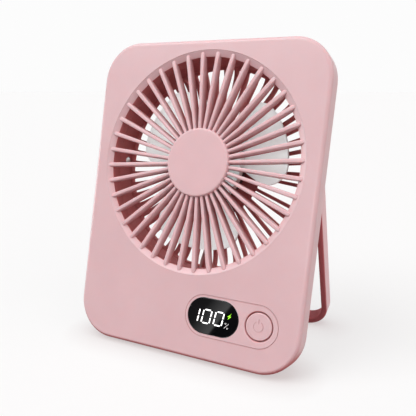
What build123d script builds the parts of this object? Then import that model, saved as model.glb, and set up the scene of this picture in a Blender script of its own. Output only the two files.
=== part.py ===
# Rechargeable desk fan: a flat case leaning back on a folding U stand, with a fan duct,
# a motor, a control panel, a board and a battery. Lengths in millimetres, angles in degrees.
import os
from math import acos, atan2, cos, degrees, hypot, radians, sin

from build123d import *

os.makedirs("parts", exist_ok=True)

# Case
case_height = 150.0
width_share = 0.8
case_corner = 19.0
rim_depth = 9.8
shell_wall = 2.2
face_wall = 2.0
front_round = 2.0
rear_round = 1.0
lean = 15.7
land_depth = 0.4
seat_gap = 0.15
cut_overrun = 5.0

# Fan duct
opening_side = 7.0
opening_top = 5.0
lip_round = 0.08
duct_step = 2.6
duct_wall = 2.1
duct_front_depth = 7.2

# Front grille
front_rib_count = 40
ring_rear_depth = 7.0
ring_gap = 0.03
lip_overhang = 0.2
lip_front_depth = 1.5
lip_rear_depth = 2.5
lip_root_depth = 3.6
flange_width = 2.2
flange_thick = 1.6
rib_hub_width = 1.5
rib_tip_width = 2.1
rib_edge_round = 0.62
rib_tip_gap = 0.7
rib_tip_depth = 0.35
rib_tip_rear_depth = 2.6
rib_shoulder_width = 3.2
rib_hub_rear_depth = 5.0
rib_rear_bow = 1.0
rib_sink = 1.0
hub_radius = 16.25
hub_rise = 1.0
hub_thick = 3.0
hub_round = 1.0

# Rear shell and its housing
plate_thick = 2.0
housing_margin = 0.6
housing_depth = 18.5
housing_wall = 2.0
housing_round = 2.5

# Rear grille
rear_slot_count = 52
rear_seat_thick = 1.9
rear_seat_width = 1.2
rear_ring_step = 0.4
rear_front_step = 0.2
rear_plate_thick = 2.2
rear_curl_width = 5.6
rear_edge_step = 0.3
rear_hub_radius = 24.0
slot_inner_width = 1.7
slot_outer_width = 4.2
slot_corner = 0.7
slot_end_gap = 0.4

# Folding stand
band_thick = 3.0
band_depth = 8.0
band_corner = 13.0
band_round = 0.8
bar_inset = 1.2
stand_side_gap = 0.6
stand_plate_gap = 0.4
foot_land = 0.3
pin_radius = 2.2
pin_bore_gap = 0.05
pin_end_gap = 0.3
pin_end_round = 0.4
washer_thick = 0.5
washer_radius = 3.9

# Control panel
panel_height = 21.3
panel_side = 10.5
panel_length = 46.7
panel_radius = 9.7
panel_thick = 2.6
panel_flange = 1.0
panel_flange_thick = 1.0
panel_groove = 0.15
lens_margin = 1.15
lens_length = 26.6
lens_thick = 1.6
lens_ledge = 1.2
lens_gap = 0.05
lens_round = 0.3

# Power button
button_radius = 6.35
button_shift = 0.5
button_gap = 0.3
button_round = 0.6
button_hole_round = 0.7
button_flange = 0.9
button_flange_thick = 0.8
button_travel = 0.4
symbol_radius = 2.3
symbol_line = 0.5
symbol_depth = 0.2
symbol_gap_angle = 70.0
symbol_bar = 2.2

# Main board and what sits on it
board_depth = 6.4
board_thick = 1.2
board_left_gap = 3.6
board_right_gap = 6.0
board_bottom = 12.0
board_duct_gap = 1.5
board_corner = 2.0
module_length = 21.0
module_width = 12.4
module_thick = 3.4
switch_side = 5.2
switch_thick = 1.4
switch_floor = 0.4
plunger_spare = 0.2
plunger_radius = 1.3
plunger_gap = 0.06
socket_height = 24.0
socket_width = 8.94
socket_thick = 3.2
socket_skin = 0.3
socket_length = 7.3
socket_recess = 0.8
socket_slot_gap = 0.3
socket_back = 1.4
tongue_width = 6.7
tongue_thick = 0.7
tongue_length = 4.4
chip_side = 5.0
chip_thick = 1.0
charge_chip_side = 4.0
inductor_side = 6.0
inductor_thick = 3.0
inductor_round = 0.8
connector_length = 6.0
connector_width = 4.2
connector_thick = 2.4

# Battery
cell_front_gap = 0.6
cell_side_gap = 4.6
cell_lead_gap = 2.5
cell_bottom = 9.5
cell_round = 1.6
pad_thick = 1.0
pad_inset = 4.0

# Leads held inside
motor_lead_radius = 0.7
motor_lead_bend_share = 0.93
motor_lead_clear = 0.05
battery_lead_radius = 0.65
battery_lead_bend_share = 0.93
battery_lead_height = 20.0
lead_wall_step = 1.2
lead_hole_gap = 0.4
lead_turn_gap = 0.5
lead_rise_gap = 2.6

# Motor
can_radius = 17.9
can_skin = 0.8
can_front_depth = 7.8
can_rear_gap = 2.2
magnet_thick = 1.5
magnet_front_gap = 1.0
magnet_rear_gap = 1.0
stator_radius = 15.1
stator_front_depth = 10.4
stator_rear_gap = 3.6
tooth_count = 9
tooth_width = 2.2
core_radius = 6.5
shoe_thick = 1.9
slot_mouth = 1.6
coil_thick = 1.2
coil_start_gap = 0.9
coil_end_gap = 0.4
tube_radius = 4.0
tube_front_depth = 9.6
base_radius = 16.0
base_thick = 1.2
bush_radius = 2.6
bush_share = 0.31
bush_rear_gap = 0.6
shaft_radius = 1.5
shaft_fit = 0.03
shaft_front_depth = 4.8
shaft_rear_gap = 0.3
clip_radius = 2.3
clip_thick = 0.4
clip_gap = 0.1
motor_board_radius = 14.4
motor_board_thick = 0.9

# Impeller
blade_count = 3
blade_tip_gap = 9.0
blade_thick = 1.3
blade_front_depth = 8.6
blade_rear_gap = 2.7
blade_sweep = 76.0
blade_tip_angle = -18.0
blade_root_angle = 16.0
blade_root_bow = 5.0
blade_heel_angle = 4.0
blade_heel_bow = 5.0
blade_root_gap = 0.35
slab_shares = (-0.15, 0.0, 0.15, 0.3, 0.45, 0.6, 0.75, 0.9, 1.05, 1.25)
blade_corner = 9.0
blade_overreach = 4.0
sleeve_thick = 1.4
sleeve_front_depth = 6.4
sleeve_length = 4.0
sleeve_ring = 1.3
boss_radius = 4.0
boss_rise = 1.6

# Screws
screw_radius = 1.15
screw_head_radius = 2.4
screw_head_thick = 1.2
screw_length = 5.4
screw_cross_width = 0.6
screw_cross_length = 2.6
screw_cross_depth = 0.6
screw_hole_gap = 0.15
screw_head_gap = 0.3
screw_tube_wall = 1.0
boss_wall = 2.2
case_screw_inset = 14.0
low_screw_inset = 5.1
low_screw_rise = 6.5
board_screw_length = 4.2
board_screw_start = 11.8
board_screw_inset = 4.2
motor_screw_radius = 0.9
motor_screw_head_radius = 1.7
motor_screw_head_thick = 1.0
motor_screw_circle = 11.0
motor_screw_count = 3

# Places worked out from the driving dimensions
lean_sin = sin(radians(lean))
lean_cos = cos(radians(lean))
case_width = case_height * width_share
opening_radius = case_width / 2 - opening_side
fan_height = case_height - opening_radius - opening_top
duct_radius = opening_radius - duct_step
duct_outer = duct_radius + duct_wall
housing_half = duct_outer + housing_margin
stand_inner = housing_half + stand_side_gap
stand_outer = stand_inner + band_thick
leg_length = fan_height - bar_inset
housing_bottom = fan_height - leg_length + band_thick + stand_side_gap
housing_corner = band_corner - band_thick - stand_side_gap
plate_front_depth = rim_depth - plate_thick
pivot_depth = rim_depth + stand_plate_gap + band_depth / 2
rear_seat_depth = housing_depth - rear_seat_thick
rear_edge_depth = housing_depth - rear_edge_step
rear_front_depth = housing_depth + rear_front_step
rear_back_depth = rear_front_depth + rear_plate_thick
lead_wall_depth = rear_seat_depth - lead_wall_step
base_front_depth = rear_front_depth - base_thick
flange_radius = opening_radius + flange_width

# The case stands on the low edge of its rim, cut flat; the stand's tilt puts its bar on the floor
rim_low = (rim_depth - rear_round) * lean_sin - rear_round * lean_cos + rear_round
face_lift = rim_low - land_depth
pivot_back = fan_height * lean_sin + pivot_depth * lean_cos
pivot_lift = fan_height * lean_cos - pivot_depth * lean_sin + face_lift
bar_down = leg_length - band_round
bar_front = band_depth / 2 - band_round
bar_turn = acos((pivot_lift - band_round + foot_land) / hypot(bar_down, bar_front))
stand_tilt = degrees(atan2(bar_front, bar_down) + bar_turn)
tilt_sin = sin(radians(stand_tilt))
tilt_cos = cos(radians(stand_tilt))

# The origin is under the middle of the fan's reach from front to back
reach_front = front_round * (lean_sin + lean_cos) - front_round
reach_back = pivot_back + bar_down * tilt_sin + bar_front * tilt_cos + band_round
face_shift = -(reach_front + reach_back) / 2

# Planes: the face leans back, the fan lies on it, the stand leans the other way
FACE = Plane((0, face_shift, face_lift), x_dir=(1, 0, 0), z_dir=(0, -lean_cos, lean_sin))
FAN = Plane(FACE.from_local_coords((0, fan_height, 0)), x_dir=FACE.x_dir, z_dir=FACE.z_dir)
FAN_SECTION = Plane(FAN.origin, x_dir=FAN.x_dir, z_dir=-FAN.y_dir)
PIVOT = FACE.from_local_coords((0, fan_height, -pivot_depth))
STAND = Plane(PIVOT, x_dir=(1, 0, 0), z_dir=(0, -tilt_cos, -tilt_sin))
FAN_AXIS = Axis(FAN.origin, FAN.z_dir)
OUTWARD = Axis(FACE.origin, FACE.z_dir)


def side_plane(x, height, depth):
    """A plane facing +X at a place on the case, with its own x up the case and y out of the face."""
    return Plane(FACE.from_local_coords((x, height, -depth)), x_dir=FACE.y_dir, z_dir=FACE.x_dir)


def section(*points):
    """A closed face through points of radius and height along the fan's axis."""
    with BuildSketch() as profile:
        with BuildLine():
            Polyline(*points, close=True)
        make_face()
    return profile.sketch


def arch(half_width, bottom, corner):
    """The housing's outline: a half circle about the fan over a box with two round corners."""
    with BuildSketch() as outline:
        with BuildLine():
            ThreePointArc((-half_width, fan_height), (0, fan_height + half_width), (half_width, fan_height))
            FilletPolyline(
                (half_width, fan_height),
                (half_width, bottom),
                (-half_width, bottom),
                (-half_width, fan_height),
                radius=corner,
            )
        make_face()
    return outline.sketch


def screw(radius, length, head_radius, head_thick):
    """A pan head screw pointing up from its head's underside, with a cross recess."""
    with BuildPart() as fastener:
        Cylinder(radius, length, align=(Align.CENTER, Align.CENTER, Align.MIN))
        Cylinder(head_radius, head_thick, align=(Align.CENTER, Align.CENTER, Align.MAX))
        chamfer(fastener.edges().sort_by(Axis.Z)[0], head_thick / 3)
        with BuildSketch(Plane.XY.offset(-head_thick)):
            Rectangle(screw_cross_length, screw_cross_width)
            Rectangle(screw_cross_width, screw_cross_length)
        extrude(amount=screw_cross_depth, mode=Mode.SUBTRACT)
    return fastener.part


# Places of the panel, the board and the screws on the case
panel_right = case_width / 2 - panel_side
panel_left = panel_right - panel_length
board_left = case_width / 2 - board_left_gap
board_right = case_width / 2 - board_right_gap
board_top = fan_height - opening_radius - board_duct_gap
low_screw_side = housing_half - low_screw_inset
board_screw_left = board_left - board_screw_start
case_screws_at = [
    (case_screw_inset - case_width / 2, case_height - case_screw_inset),
    (case_width / 2 - case_screw_inset, case_height - case_screw_inset),
    (-low_screw_side, board_top + low_screw_rise),
    (low_screw_side, board_top + low_screw_rise),
]
screw_boss_radius = screw_radius + boss_wall
board_screws_at = [
    (-board_screw_left, board_top - board_screw_inset),
    (-board_screw_left, board_bottom + board_screw_inset),
    (panel_left - panel_flange - board_screw_inset, board_bottom + board_screw_inset),
    (low_screw_side, board_top - board_screw_inset),
]
case_middle = (0, case_height / 2)
panel_middle = ((panel_left + panel_right) / 2, panel_height)
lens_height = 2 * (panel_radius - lens_margin)
lens_middle = (panel_left + lens_margin + lens_length / 2, panel_height)
button_middle = (panel_right - panel_radius + button_shift, panel_height)
BUTTON = Plane(FACE.from_local_coords((*button_middle, 0)), x_dir=FACE.x_dir, z_dir=FACE.z_dir)

# Front shell: face, rim, lip round the fan, bosses, panel window and charging slot
with BuildPart() as front_shell:
    with BuildSketch(FACE):
        with Locations(case_middle):
            RectangleRounded(case_width, case_height, case_corner)
    extrude(amount=-rim_depth)
    fillet(front_shell.faces().sort_by(OUTWARD)[-1].edges(), front_round)
    fillet(front_shell.faces().sort_by(OUTWARD)[0].edges(), rear_round)
    with BuildSketch(FACE.offset(-face_wall)):
        with Locations(case_middle):
            RectangleRounded(
                case_width - 2 * shell_wall, case_height - 2 * shell_wall, case_corner - shell_wall
            )
    extrude(amount=face_wall - rim_depth, mode=Mode.SUBTRACT)
    with BuildSketch(FACE.offset(-face_wall)):
        with Locations(*case_screws_at):
            Circle(screw_boss_radius)
    extrude(amount=face_wall - plate_front_depth)
    with BuildSketch(FACE.offset(-face_wall)):
        with Locations(*board_screws_at):
            Circle(screw_boss_radius)
    extrude(amount=face_wall - board_depth)
    with BuildSketch(FACE.offset(-face_wall)):
        with Locations(*case_screws_at, *board_screws_at):
            Circle(screw_radius)
    extrude(amount=-rim_depth, mode=Mode.SUBTRACT)
    with BuildSketch(FAN_SECTION):
        with BuildLine():
            lip_start = (opening_radius + lip_round, 0)
            lip_end = (opening_radius, -lip_round)
            RadiusArc(lip_start, lip_end, -lip_round)
            Polyline(
                lip_end,
                (opening_radius, -face_wall - cut_overrun),
                (0, -face_wall - cut_overrun),
                (0, cut_overrun),
                (opening_radius + lip_round, cut_overrun),
                lip_start,
            )
        make_face()
    revolve(axis=FAN_AXIS, mode=Mode.SUBTRACT)
    with BuildSketch(FACE):
        with Locations(panel_middle):
            SlotOverall(panel_length + 2 * panel_groove, 2 * (panel_radius + panel_groove))
    extrude(amount=-face_wall, mode=Mode.SUBTRACT)
    with BuildSketch(side_plane(-case_width / 2, socket_height, board_depth - socket_thick / 2)):
        SlotOverall(socket_width + 2 * socket_slot_gap, socket_thick + 2 * socket_slot_gap)
    extrude(amount=shell_wall, mode=Mode.SUBTRACT)
    with BuildSketch(Plane.XY):
        Rectangle(case_width, 2 * case_height)
    extrude(amount=-case_height, mode=Mode.SUBTRACT)
front_shell.part.label = "front_shell"
export_step(front_shell.part, "parts/front_shell.step")

# Front grille: one rib, then the ring, the hub disc and the ribs round it
bevel_front_radius = opening_radius - ring_gap
lip_inner_radius = duct_radius - lip_overhang
rib_root_radius = hub_radius - rib_sink
rib_end_radius = opening_radius - rib_tip_gap
rib_middle_radius = (rib_root_radius + rib_end_radius) / 2
rib_middle_depth = (rib_hub_rear_depth + rib_tip_rear_depth) / 2 + rib_rear_bow
with BuildPart() as front_rib:
    with BuildSketch(Plane.XZ):
        with BuildLine():
            rib_start = (rib_root_radius, 0)
            rib_shoulder = (rib_end_radius - rib_shoulder_width, 0)
            rib_end = (rib_end_radius, -rib_tip_depth)
            rib_tip_rear = (rib_end_radius, -rib_tip_rear_depth)
            rib_root_rear = (rib_root_radius, -rib_hub_rear_depth)
            Line(rib_start, rib_shoulder)
            TangentArc(rib_shoulder, rib_end, tangent=(1, 0))
            Line(rib_end, rib_tip_rear)
            ThreePointArc(rib_tip_rear, (rib_middle_radius, -rib_middle_depth), rib_root_rear)
            Line(rib_root_rear, rib_start)
        make_face()
    extrude(amount=rib_tip_width, both=True)
    with BuildSketch(Plane.XY.offset(hub_thick)):
        with Locations((rib_root_radius, 0)):
            Circle(rib_hub_width / 2)
        with Locations((rib_end_radius - rib_tip_width / 2, 0)):
            Circle(rib_tip_width / 2)
        make_hull()
    extrude(amount=-hub_thick - ring_rear_depth - cut_overrun, mode=Mode.INTERSECT)
    front_edges = front_rib.faces().filter_by(Plane.XZ, reverse=True).sort_by(Axis.Z)[-2:].edges()
    fillet(front_edges, rib_edge_round)

with BuildPart(FAN) as front_grille:
    with BuildSketch(FAN_SECTION):
        add(
            section(
                (bevel_front_radius, -lip_round),
                (lip_inner_radius, -lip_front_depth),
                (lip_inner_radius, -lip_rear_depth),
                (duct_radius, -lip_root_depth),
                (duct_radius, -ring_rear_depth),
                (bevel_front_radius, -ring_rear_depth),
                (bevel_front_radius, -face_wall - flange_thick),
                (flange_radius, -face_wall - flange_thick),
                (flange_radius, -face_wall),
                (bevel_front_radius, -face_wall),
            )
        )
    revolve(axis=FAN_AXIS)
    with BuildSketch(FAN.offset(hub_rise)):
        Circle(hub_radius)
    extrude(amount=-hub_thick)
    fillet(front_grille.edges().filter_by(GeomType.CIRCLE).sort_by(OUTWARD)[-1], hub_round)
    with PolarLocations(0, front_rib_count, start_angle=180 / front_rib_count):
        add(front_rib.part)
front_grille.part.label = "front_grille"
export_step(front_grille.part, "parts/front_grille.step")

# Control panel: a pill shaped insert flush with the face, with a lens ledge and a button hole
with BuildPart() as control_panel:
    with BuildSketch(FACE):
        with Locations(panel_middle):
            SlotOverall(panel_length, 2 * panel_radius)
    extrude(amount=-panel_thick)
    with BuildSketch(FACE.offset(-face_wall)):
        with Locations(panel_middle):
            SlotOverall(panel_length + 2 * panel_flange, 2 * (panel_radius + panel_flange))
    extrude(amount=-panel_flange_thick)
    with BuildSketch(FACE):
        with Locations(lens_middle):
            SlotOverall(lens_length, lens_height)
    extrude(amount=-lens_thick, mode=Mode.SUBTRACT)
    with BuildSketch(FACE):
        with Locations(lens_middle):
            SlotOverall(lens_length - 2 * lens_ledge, lens_height - 2 * lens_ledge)
        with Locations(button_middle):
            Circle(button_radius + button_gap)
    extrude(amount=-face_wall - cut_overrun, mode=Mode.SUBTRACT)
    hole_edges = control_panel.edges().filter_by(GeomType.CIRCLE).sort_by_distance(BUTTON.origin)
    fillet(hole_edges[0], button_hole_round)
control_panel.part.label = "control_panel"
export_step(control_panel.part, "parts/control_panel.step")

# Display lens: a smoked pane seated on the panel's ledge
with BuildPart() as display_lens:
    with BuildSketch(FACE):
        with Locations(lens_middle):
            SlotOverall(lens_length - 2 * lens_gap, lens_height - 2 * lens_gap)
    extrude(amount=-lens_thick)
    fillet(display_lens.faces().sort_by(OUTWARD)[-1].edges(), lens_round)
display_lens.part.label = "display_lens"
export_step(display_lens.part, "parts/display_lens.step")

# Power button: a round cap with a sunk power symbol and a flange behind the panel
button_rear_depth = panel_flange_thick + face_wall + button_gap + button_flange_thick
with BuildPart(BUTTON) as power_button:
    with BuildSketch(BUTTON):
        Circle(button_radius)
    extrude(amount=-button_rear_depth)
    fillet(power_button.faces().sort_by(OUTWARD)[-1].edges(), button_round)
    with BuildSketch(BUTTON.offset(-button_rear_depth)):
        Circle(button_radius + button_flange)
    extrude(amount=button_flange_thick)
    with BuildSketch(BUTTON):
        with BuildLine():
            CenterArc((0, 0), symbol_radius, 90 + symbol_gap_angle / 2, 360 - symbol_gap_angle)
            offset(amount=symbol_line / 2, side=Side.BOTH)
        make_face()
        with Locations((0, symbol_radius)):
            SlotOverall(symbol_bar, symbol_line, rotation=90)
    extrude(amount=-symbol_depth, mode=Mode.SUBTRACT)
power_button.part.label = "power_button"
export_step(power_button.part, "parts/power_button.step")

# Switch plunger: moves with the button inside the switch
plunger_rear_depth = board_depth - switch_floor - button_travel - plunger_spare
with BuildPart() as switch_plunger:
    with BuildSketch(BUTTON.offset(-button_rear_depth)):
        Circle(plunger_radius)
    extrude(amount=button_rear_depth - plunger_rear_depth)
switch_plunger.part.label = "switch_plunger"
export_step(switch_plunger.part, "parts/switch_plunger.step")

# Switch body: a square push switch on the board
with BuildPart() as switch_body:
    with BuildSketch(BUTTON.offset(-board_depth)):
        Rectangle(switch_side, switch_side)
    extrude(amount=switch_thick)
    with BuildSketch(BUTTON.offset(-board_depth + switch_floor)):
        Circle(plunger_radius + plunger_gap)
    extrude(amount=switch_thick, mode=Mode.SUBTRACT)
switch_body.part.label = "switch_body"
export_step(switch_body.part, "parts/switch_body.step")

# Rear shell: a plate inside the rim, a raised housing, the duct wall, screw tubes and pin bores
with BuildPart() as rear_shell:
    with BuildSketch(FACE.offset(-plate_front_depth)):
        with Locations(case_middle):
            RectangleRounded(
                case_width - 2 * (shell_wall + seat_gap),
                case_height - 2 * (shell_wall + seat_gap),
                case_corner - shell_wall - seat_gap,
            )
    extrude(amount=-plate_thick)
    with BuildSketch(FACE.offset(-plate_front_depth)):
        add(arch(housing_half, housing_bottom, housing_corner))
    extrude(amount=plate_front_depth - housing_depth)
    fillet(rear_shell.faces().sort_by(OUTWARD)[0].edges(), housing_round)
    with BuildSketch(FACE.offset(-plate_front_depth)):
        add(
            arch(
                housing_half - housing_wall,
                housing_bottom + housing_wall,
                housing_corner - housing_wall,
            )
        )
    extrude(amount=plate_front_depth - housing_depth + housing_wall, mode=Mode.SUBTRACT)
    with BuildSketch(FACE.offset(-plate_front_depth)):
        with Locations(*case_screws_at[2:]):
            Circle(screw_head_radius + screw_head_gap + screw_tube_wall)
    extrude(amount=plate_front_depth - housing_depth + housing_wall / 2)
    with BuildSketch(FAN.offset(-duct_front_depth)):
        Circle(duct_outer)
    extrude(amount=duct_front_depth - housing_depth + housing_wall / 2)
    with BuildSketch(FAN.offset(-duct_front_depth)):
        Circle(duct_radius)
    extrude(amount=-housing_depth, mode=Mode.SUBTRACT)
    with BuildSketch(FAN.offset(-rear_seat_depth)):
        Circle(duct_radius + rear_seat_width)
    extrude(amount=-housing_depth, mode=Mode.SUBTRACT)
    with BuildSketch(FACE.offset(screw_head_thick - rim_depth)):
        with Locations(*case_screws_at):
            Circle(screw_head_radius + screw_head_gap)
    extrude(amount=-housing_depth, mode=Mode.SUBTRACT)
    with BuildSketch(FACE):
        with Locations(*case_screws_at):
            Circle(screw_radius + screw_hole_gap)
    extrude(amount=-rim_depth, mode=Mode.SUBTRACT)
    with BuildSketch(side_plane(0, fan_height, pivot_depth)):
        Circle(pin_radius + pin_bore_gap)
    extrude(amount=case_width, both=True, mode=Mode.SUBTRACT)
    with BuildSketch(Plane(FACE.from_local_coords((0, fan_height, -lead_wall_depth)), z_dir=-FACE.y_dir)):
        Circle(motor_lead_radius + lead_hole_gap)
    extrude(amount=housing_half, mode=Mode.SUBTRACT)
rear_shell.part.label = "rear_shell"
export_step(rear_shell.part, "parts/rear_shell.step")

# Rear grille: a domed plate seated in the duct, with radial slots and the motor's mount
rear_ring_outer = duct_radius + rear_seat_width - seat_gap
rear_ring_inner = duct_radius - rear_ring_step
rear_curl_radius = rear_ring_inner - rear_curl_width
slot_inner_middle = rear_hub_radius + slot_end_gap + slot_inner_width / 2
slot_outer_middle = rear_ring_inner - slot_end_gap - slot_corner
slot_corner_side = slot_outer_width / 2 - slot_corner
with BuildPart(FAN) as rear_grille:
    with BuildSketch(FAN_SECTION):
        with BuildLine():
            Line((0, -rear_front_depth), (rear_curl_radius, -rear_front_depth))
            TangentArc(
                (rear_curl_radius, -rear_front_depth), (rear_ring_inner, -rear_seat_depth), tangent=(1, 0)
            )
            Polyline(
                (rear_ring_inner, -rear_seat_depth),
                (rear_ring_outer, -rear_seat_depth),
                (rear_ring_outer, -rear_edge_depth),
            )
            TangentArc(
                (rear_curl_radius, -rear_back_depth), (rear_ring_outer, -rear_edge_depth), tangent=(1, 0)
            )
            Polyline((rear_curl_radius, -rear_back_depth), (0, -rear_back_depth), (0, -rear_front_depth))
        make_face()
    revolve(axis=FAN_AXIS)
    with BuildSketch(FAN):
        with PolarLocations(0, rear_slot_count, start_angle=180 / rear_slot_count):
            with BuildSketch(mode=Mode.PRIVATE) as slot_plan:
                with Locations((slot_inner_middle, 0)):
                    Circle(slot_inner_width / 2)
                with Locations((slot_outer_middle, slot_corner_side), (slot_outer_middle, -slot_corner_side)):
                    Circle(slot_corner)
                make_hull()
            add(slot_plan.sketch)
    extrude(amount=-rear_back_depth, mode=Mode.SUBTRACT)
    with BuildSketch(FAN.offset(-rear_back_depth)):
        with PolarLocations(motor_screw_circle, motor_screw_count, start_angle=90):
            Circle(motor_screw_radius + screw_hole_gap)
    extrude(amount=rear_back_depth, mode=Mode.SUBTRACT)
    with BuildSketch(FAN.offset(-rear_back_depth)):
        with PolarLocations(motor_screw_circle, motor_screw_count, start_angle=90):
            Circle(motor_screw_head_radius + screw_hole_gap)
    extrude(amount=motor_screw_head_thick, mode=Mode.SUBTRACT)
rear_grille.part.label = "rear_grille"
export_step(rear_grille.part, "parts/rear_grille.step")

# Folding stand: a bent U band with an eye at each end, cut flat where it meets the floor
band_middle = stand_inner + band_thick / 2
bar_middle = leg_length - band_thick / 2
with BuildPart() as stand:
    with BuildSketch(STAND):
        with BuildLine():
            FilletPolyline(
                (-band_middle, 0),
                (-band_middle, -bar_middle),
                (band_middle, -bar_middle),
                (band_middle, 0),
                radius=band_corner - band_thick / 2,
            )
        trace(line_width=band_thick)
    extrude(amount=band_depth / 2, both=True)
    for eye_start in (-stand_outer, stand_inner):
        with BuildSketch(Plane(STAND.from_local_coords((eye_start, 0, 0)), z_dir=STAND.x_dir)):
            Circle(band_depth / 2)
        extrude(amount=band_thick)
    fillet(stand.edges().filter_by(lambda edge: edge.length > band_depth + band_round), band_round)
    with BuildSketch(Plane(PIVOT, z_dir=STAND.x_dir)):
        Circle(pin_radius)
    extrude(amount=case_width, both=True, mode=Mode.SUBTRACT)
    with BuildSketch(Plane.XY):
        Rectangle(case_width, 2 * case_height)
    extrude(amount=-case_height, mode=Mode.SUBTRACT)
stand.part.label = "stand"
export_step(stand.part, "parts/stand.step")

# Hinge pins: fixed in the stand's eyes, turning in the housing's bores
pin_inner = duct_radius + pin_end_gap
with BuildPart() as hinge_pins:
    for pin_start in (-stand_outer, pin_inner):
        with BuildSketch(Plane(STAND.from_local_coords((pin_start, 0, 0)), z_dir=STAND.x_dir)):
            Circle(pin_radius)
        extrude(amount=stand_outer - pin_inner)
    chamfer(hinge_pins.edges().filter_by(GeomType.CIRCLE), pin_end_round)
hinge_pins.part.label = "hinge_pins"
export_step(hinge_pins.part, "parts/hinge_pins.step")

# Hinge washers: one on each pin between the housing and the stand
with BuildPart() as hinge_washers:
    for washer_start in (-housing_half - washer_thick, housing_half):
        with BuildSketch(side_plane(washer_start, fan_height, pivot_depth)):
            Circle(washer_radius)
            Circle(pin_radius + 2 * pin_bore_gap, mode=Mode.SUBTRACT)
        extrude(amount=washer_thick)
hinge_washers.part.label = "hinge_washers"
export_step(hinge_washers.part, "parts/hinge_washers.step")

# Case screws: two at the top of the plate and two deep in the housing
with BuildPart(FACE.offset(screw_head_thick - rim_depth)) as case_screws:
    with Locations(*case_screws_at):
        add(screw(screw_radius, screw_length, screw_head_radius, screw_head_thick))
case_screws.part.label = "case_screws"
export_step(case_screws.part, "parts/case_screws.step")

# Main board on the front shell's posts
board_rear_depth = board_depth + board_thick
board_middle = ((board_right - board_left) / 2, (board_bottom + board_top) / 2)
with BuildPart() as main_board:
    with BuildSketch(FACE.offset(-board_depth)):
        with Locations(board_middle):
            RectangleRounded(board_left + board_right, board_top - board_bottom, board_corner)
        with Locations(*board_screws_at):
            Circle(screw_radius + screw_hole_gap, mode=Mode.SUBTRACT)
    extrude(amount=-board_thick)
main_board.part.label = "main_board"
export_step(main_board.part, "parts/main_board.step")

# Board screws
with BuildPart(FACE.offset(-board_rear_depth)) as board_screws:
    with Locations(*board_screws_at):
        add(screw(screw_radius, board_screw_length, screw_head_radius, screw_head_thick))
board_screws.part.label = "board_screws"
export_step(board_screws.part, "parts/board_screws.step")

# Display module behind the lens
with BuildPart() as display_module:
    with BuildSketch(FACE.offset(-board_depth)):
        with Locations(lens_middle):
            Rectangle(module_length, module_width)
    extrude(amount=module_thick)
display_module.part.label = "display_module"
export_step(display_module.part, "parts/display_module.step")

# Charging socket: a metal shell open at the left rim, with a tongue inside
socket_start = socket_recess - case_width / 2
socket_depth = board_depth - socket_thick / 2
with BuildPart() as socket_shell:
    with BuildSketch(side_plane(socket_start, socket_height, socket_depth)):
        SlotOverall(socket_width, socket_thick)
        SlotOverall(socket_width - 2 * socket_skin, socket_thick - 2 * socket_skin, mode=Mode.SUBTRACT)
    extrude(amount=socket_length)
socket_shell.part.label = "socket_shell"
export_step(socket_shell.part, "parts/socket_shell.step")

with BuildPart() as socket_tongue:
    with BuildSketch(side_plane(socket_start + socket_length, socket_height, socket_depth)):
        SlotOverall(socket_width - 2 * socket_skin, socket_thick - 2 * socket_skin)
    extrude(amount=-socket_back)
    with BuildSketch(side_plane(socket_start + socket_length - socket_back, socket_height, socket_depth)):
        Rectangle(tongue_width, tongue_thick)
    extrude(amount=-tongue_length)
socket_tongue.part.label = "socket_tongue"
export_step(socket_tongue.part, "parts/socket_tongue.step")

# Chips, inductor and connectors on the back of the board
driver_at = (lens_middle[0], board_top - board_screw_inset)
charge_at = (-board_screw_left + 2 * board_screw_inset, socket_height)
inductor_at = (button_middle[0], panel_height - button_radius)
motor_plug_at = (0, board_top - connector_width - board_screw_inset)
battery_plug_at = (lens_middle[0], battery_lead_height)
BOARD_BACK = FACE.offset(-board_rear_depth)
with BuildPart() as driver_chip:
    with BuildSketch(BOARD_BACK):
        with Locations(driver_at):
            Rectangle(chip_side, chip_side)
    extrude(amount=-chip_thick)
driver_chip.part.label = "driver_chip"
export_step(driver_chip.part, "parts/driver_chip.step")

with BuildPart() as charge_chip:
    with BuildSketch(BOARD_BACK):
        with Locations(charge_at):
            Rectangle(charge_chip_side, charge_chip_side)
    extrude(amount=-chip_thick)
charge_chip.part.label = "charge_chip"
export_step(charge_chip.part, "parts/charge_chip.step")

with BuildPart() as power_inductor:
    with BuildSketch(BOARD_BACK):
        with Locations(inductor_at):
            RectangleRounded(inductor_side, inductor_side, inductor_round)
    extrude(amount=-inductor_thick)
power_inductor.part.label = "power_inductor"
export_step(power_inductor.part, "parts/power_inductor.step")

with BuildPart() as board_connectors:
    with BuildSketch(BOARD_BACK):
        with Locations(motor_plug_at, battery_plug_at):
            Rectangle(connector_length, connector_width)
    extrude(amount=-connector_thick)
board_connectors.part.label = "board_connectors"
export_step(board_connectors.part, "parts/board_connectors.step")

# Battery cell on a foam pad against the housing's back wall
pad_rear_depth = housing_depth - housing_wall
cell_rear_depth = pad_rear_depth - pad_thick
cell_left = housing_half - cell_side_gap
cell_length = cell_left - cell_lead_gap
cell_width = board_top - cell_bottom
cell_thick = cell_rear_depth - board_rear_depth - connector_thick - cell_front_gap
cell_middle = (cell_length / 2 - cell_left, cell_bottom + cell_width / 2)
with BuildPart() as battery_cell:
    with BuildSketch(FACE.offset(-cell_rear_depth)):
        with Locations(cell_middle):
            Rectangle(cell_length, cell_width)
    extrude(amount=cell_thick)
    fillet(battery_cell.edges().filter_by(Axis(FACE.origin, FACE.y_dir)), cell_round)
battery_cell.part.label = "battery_cell"
export_step(battery_cell.part, "parts/battery_cell.step")

with BuildPart() as battery_pad:
    with BuildSketch(FACE.offset(-pad_rear_depth)):
        with Locations(cell_middle):
            Rectangle(cell_length - pad_inset, cell_width - pad_inset)
    extrude(amount=pad_thick)
battery_pad.part.label = "battery_pad"
export_step(battery_pad.part, "parts/battery_pad.step")

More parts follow.
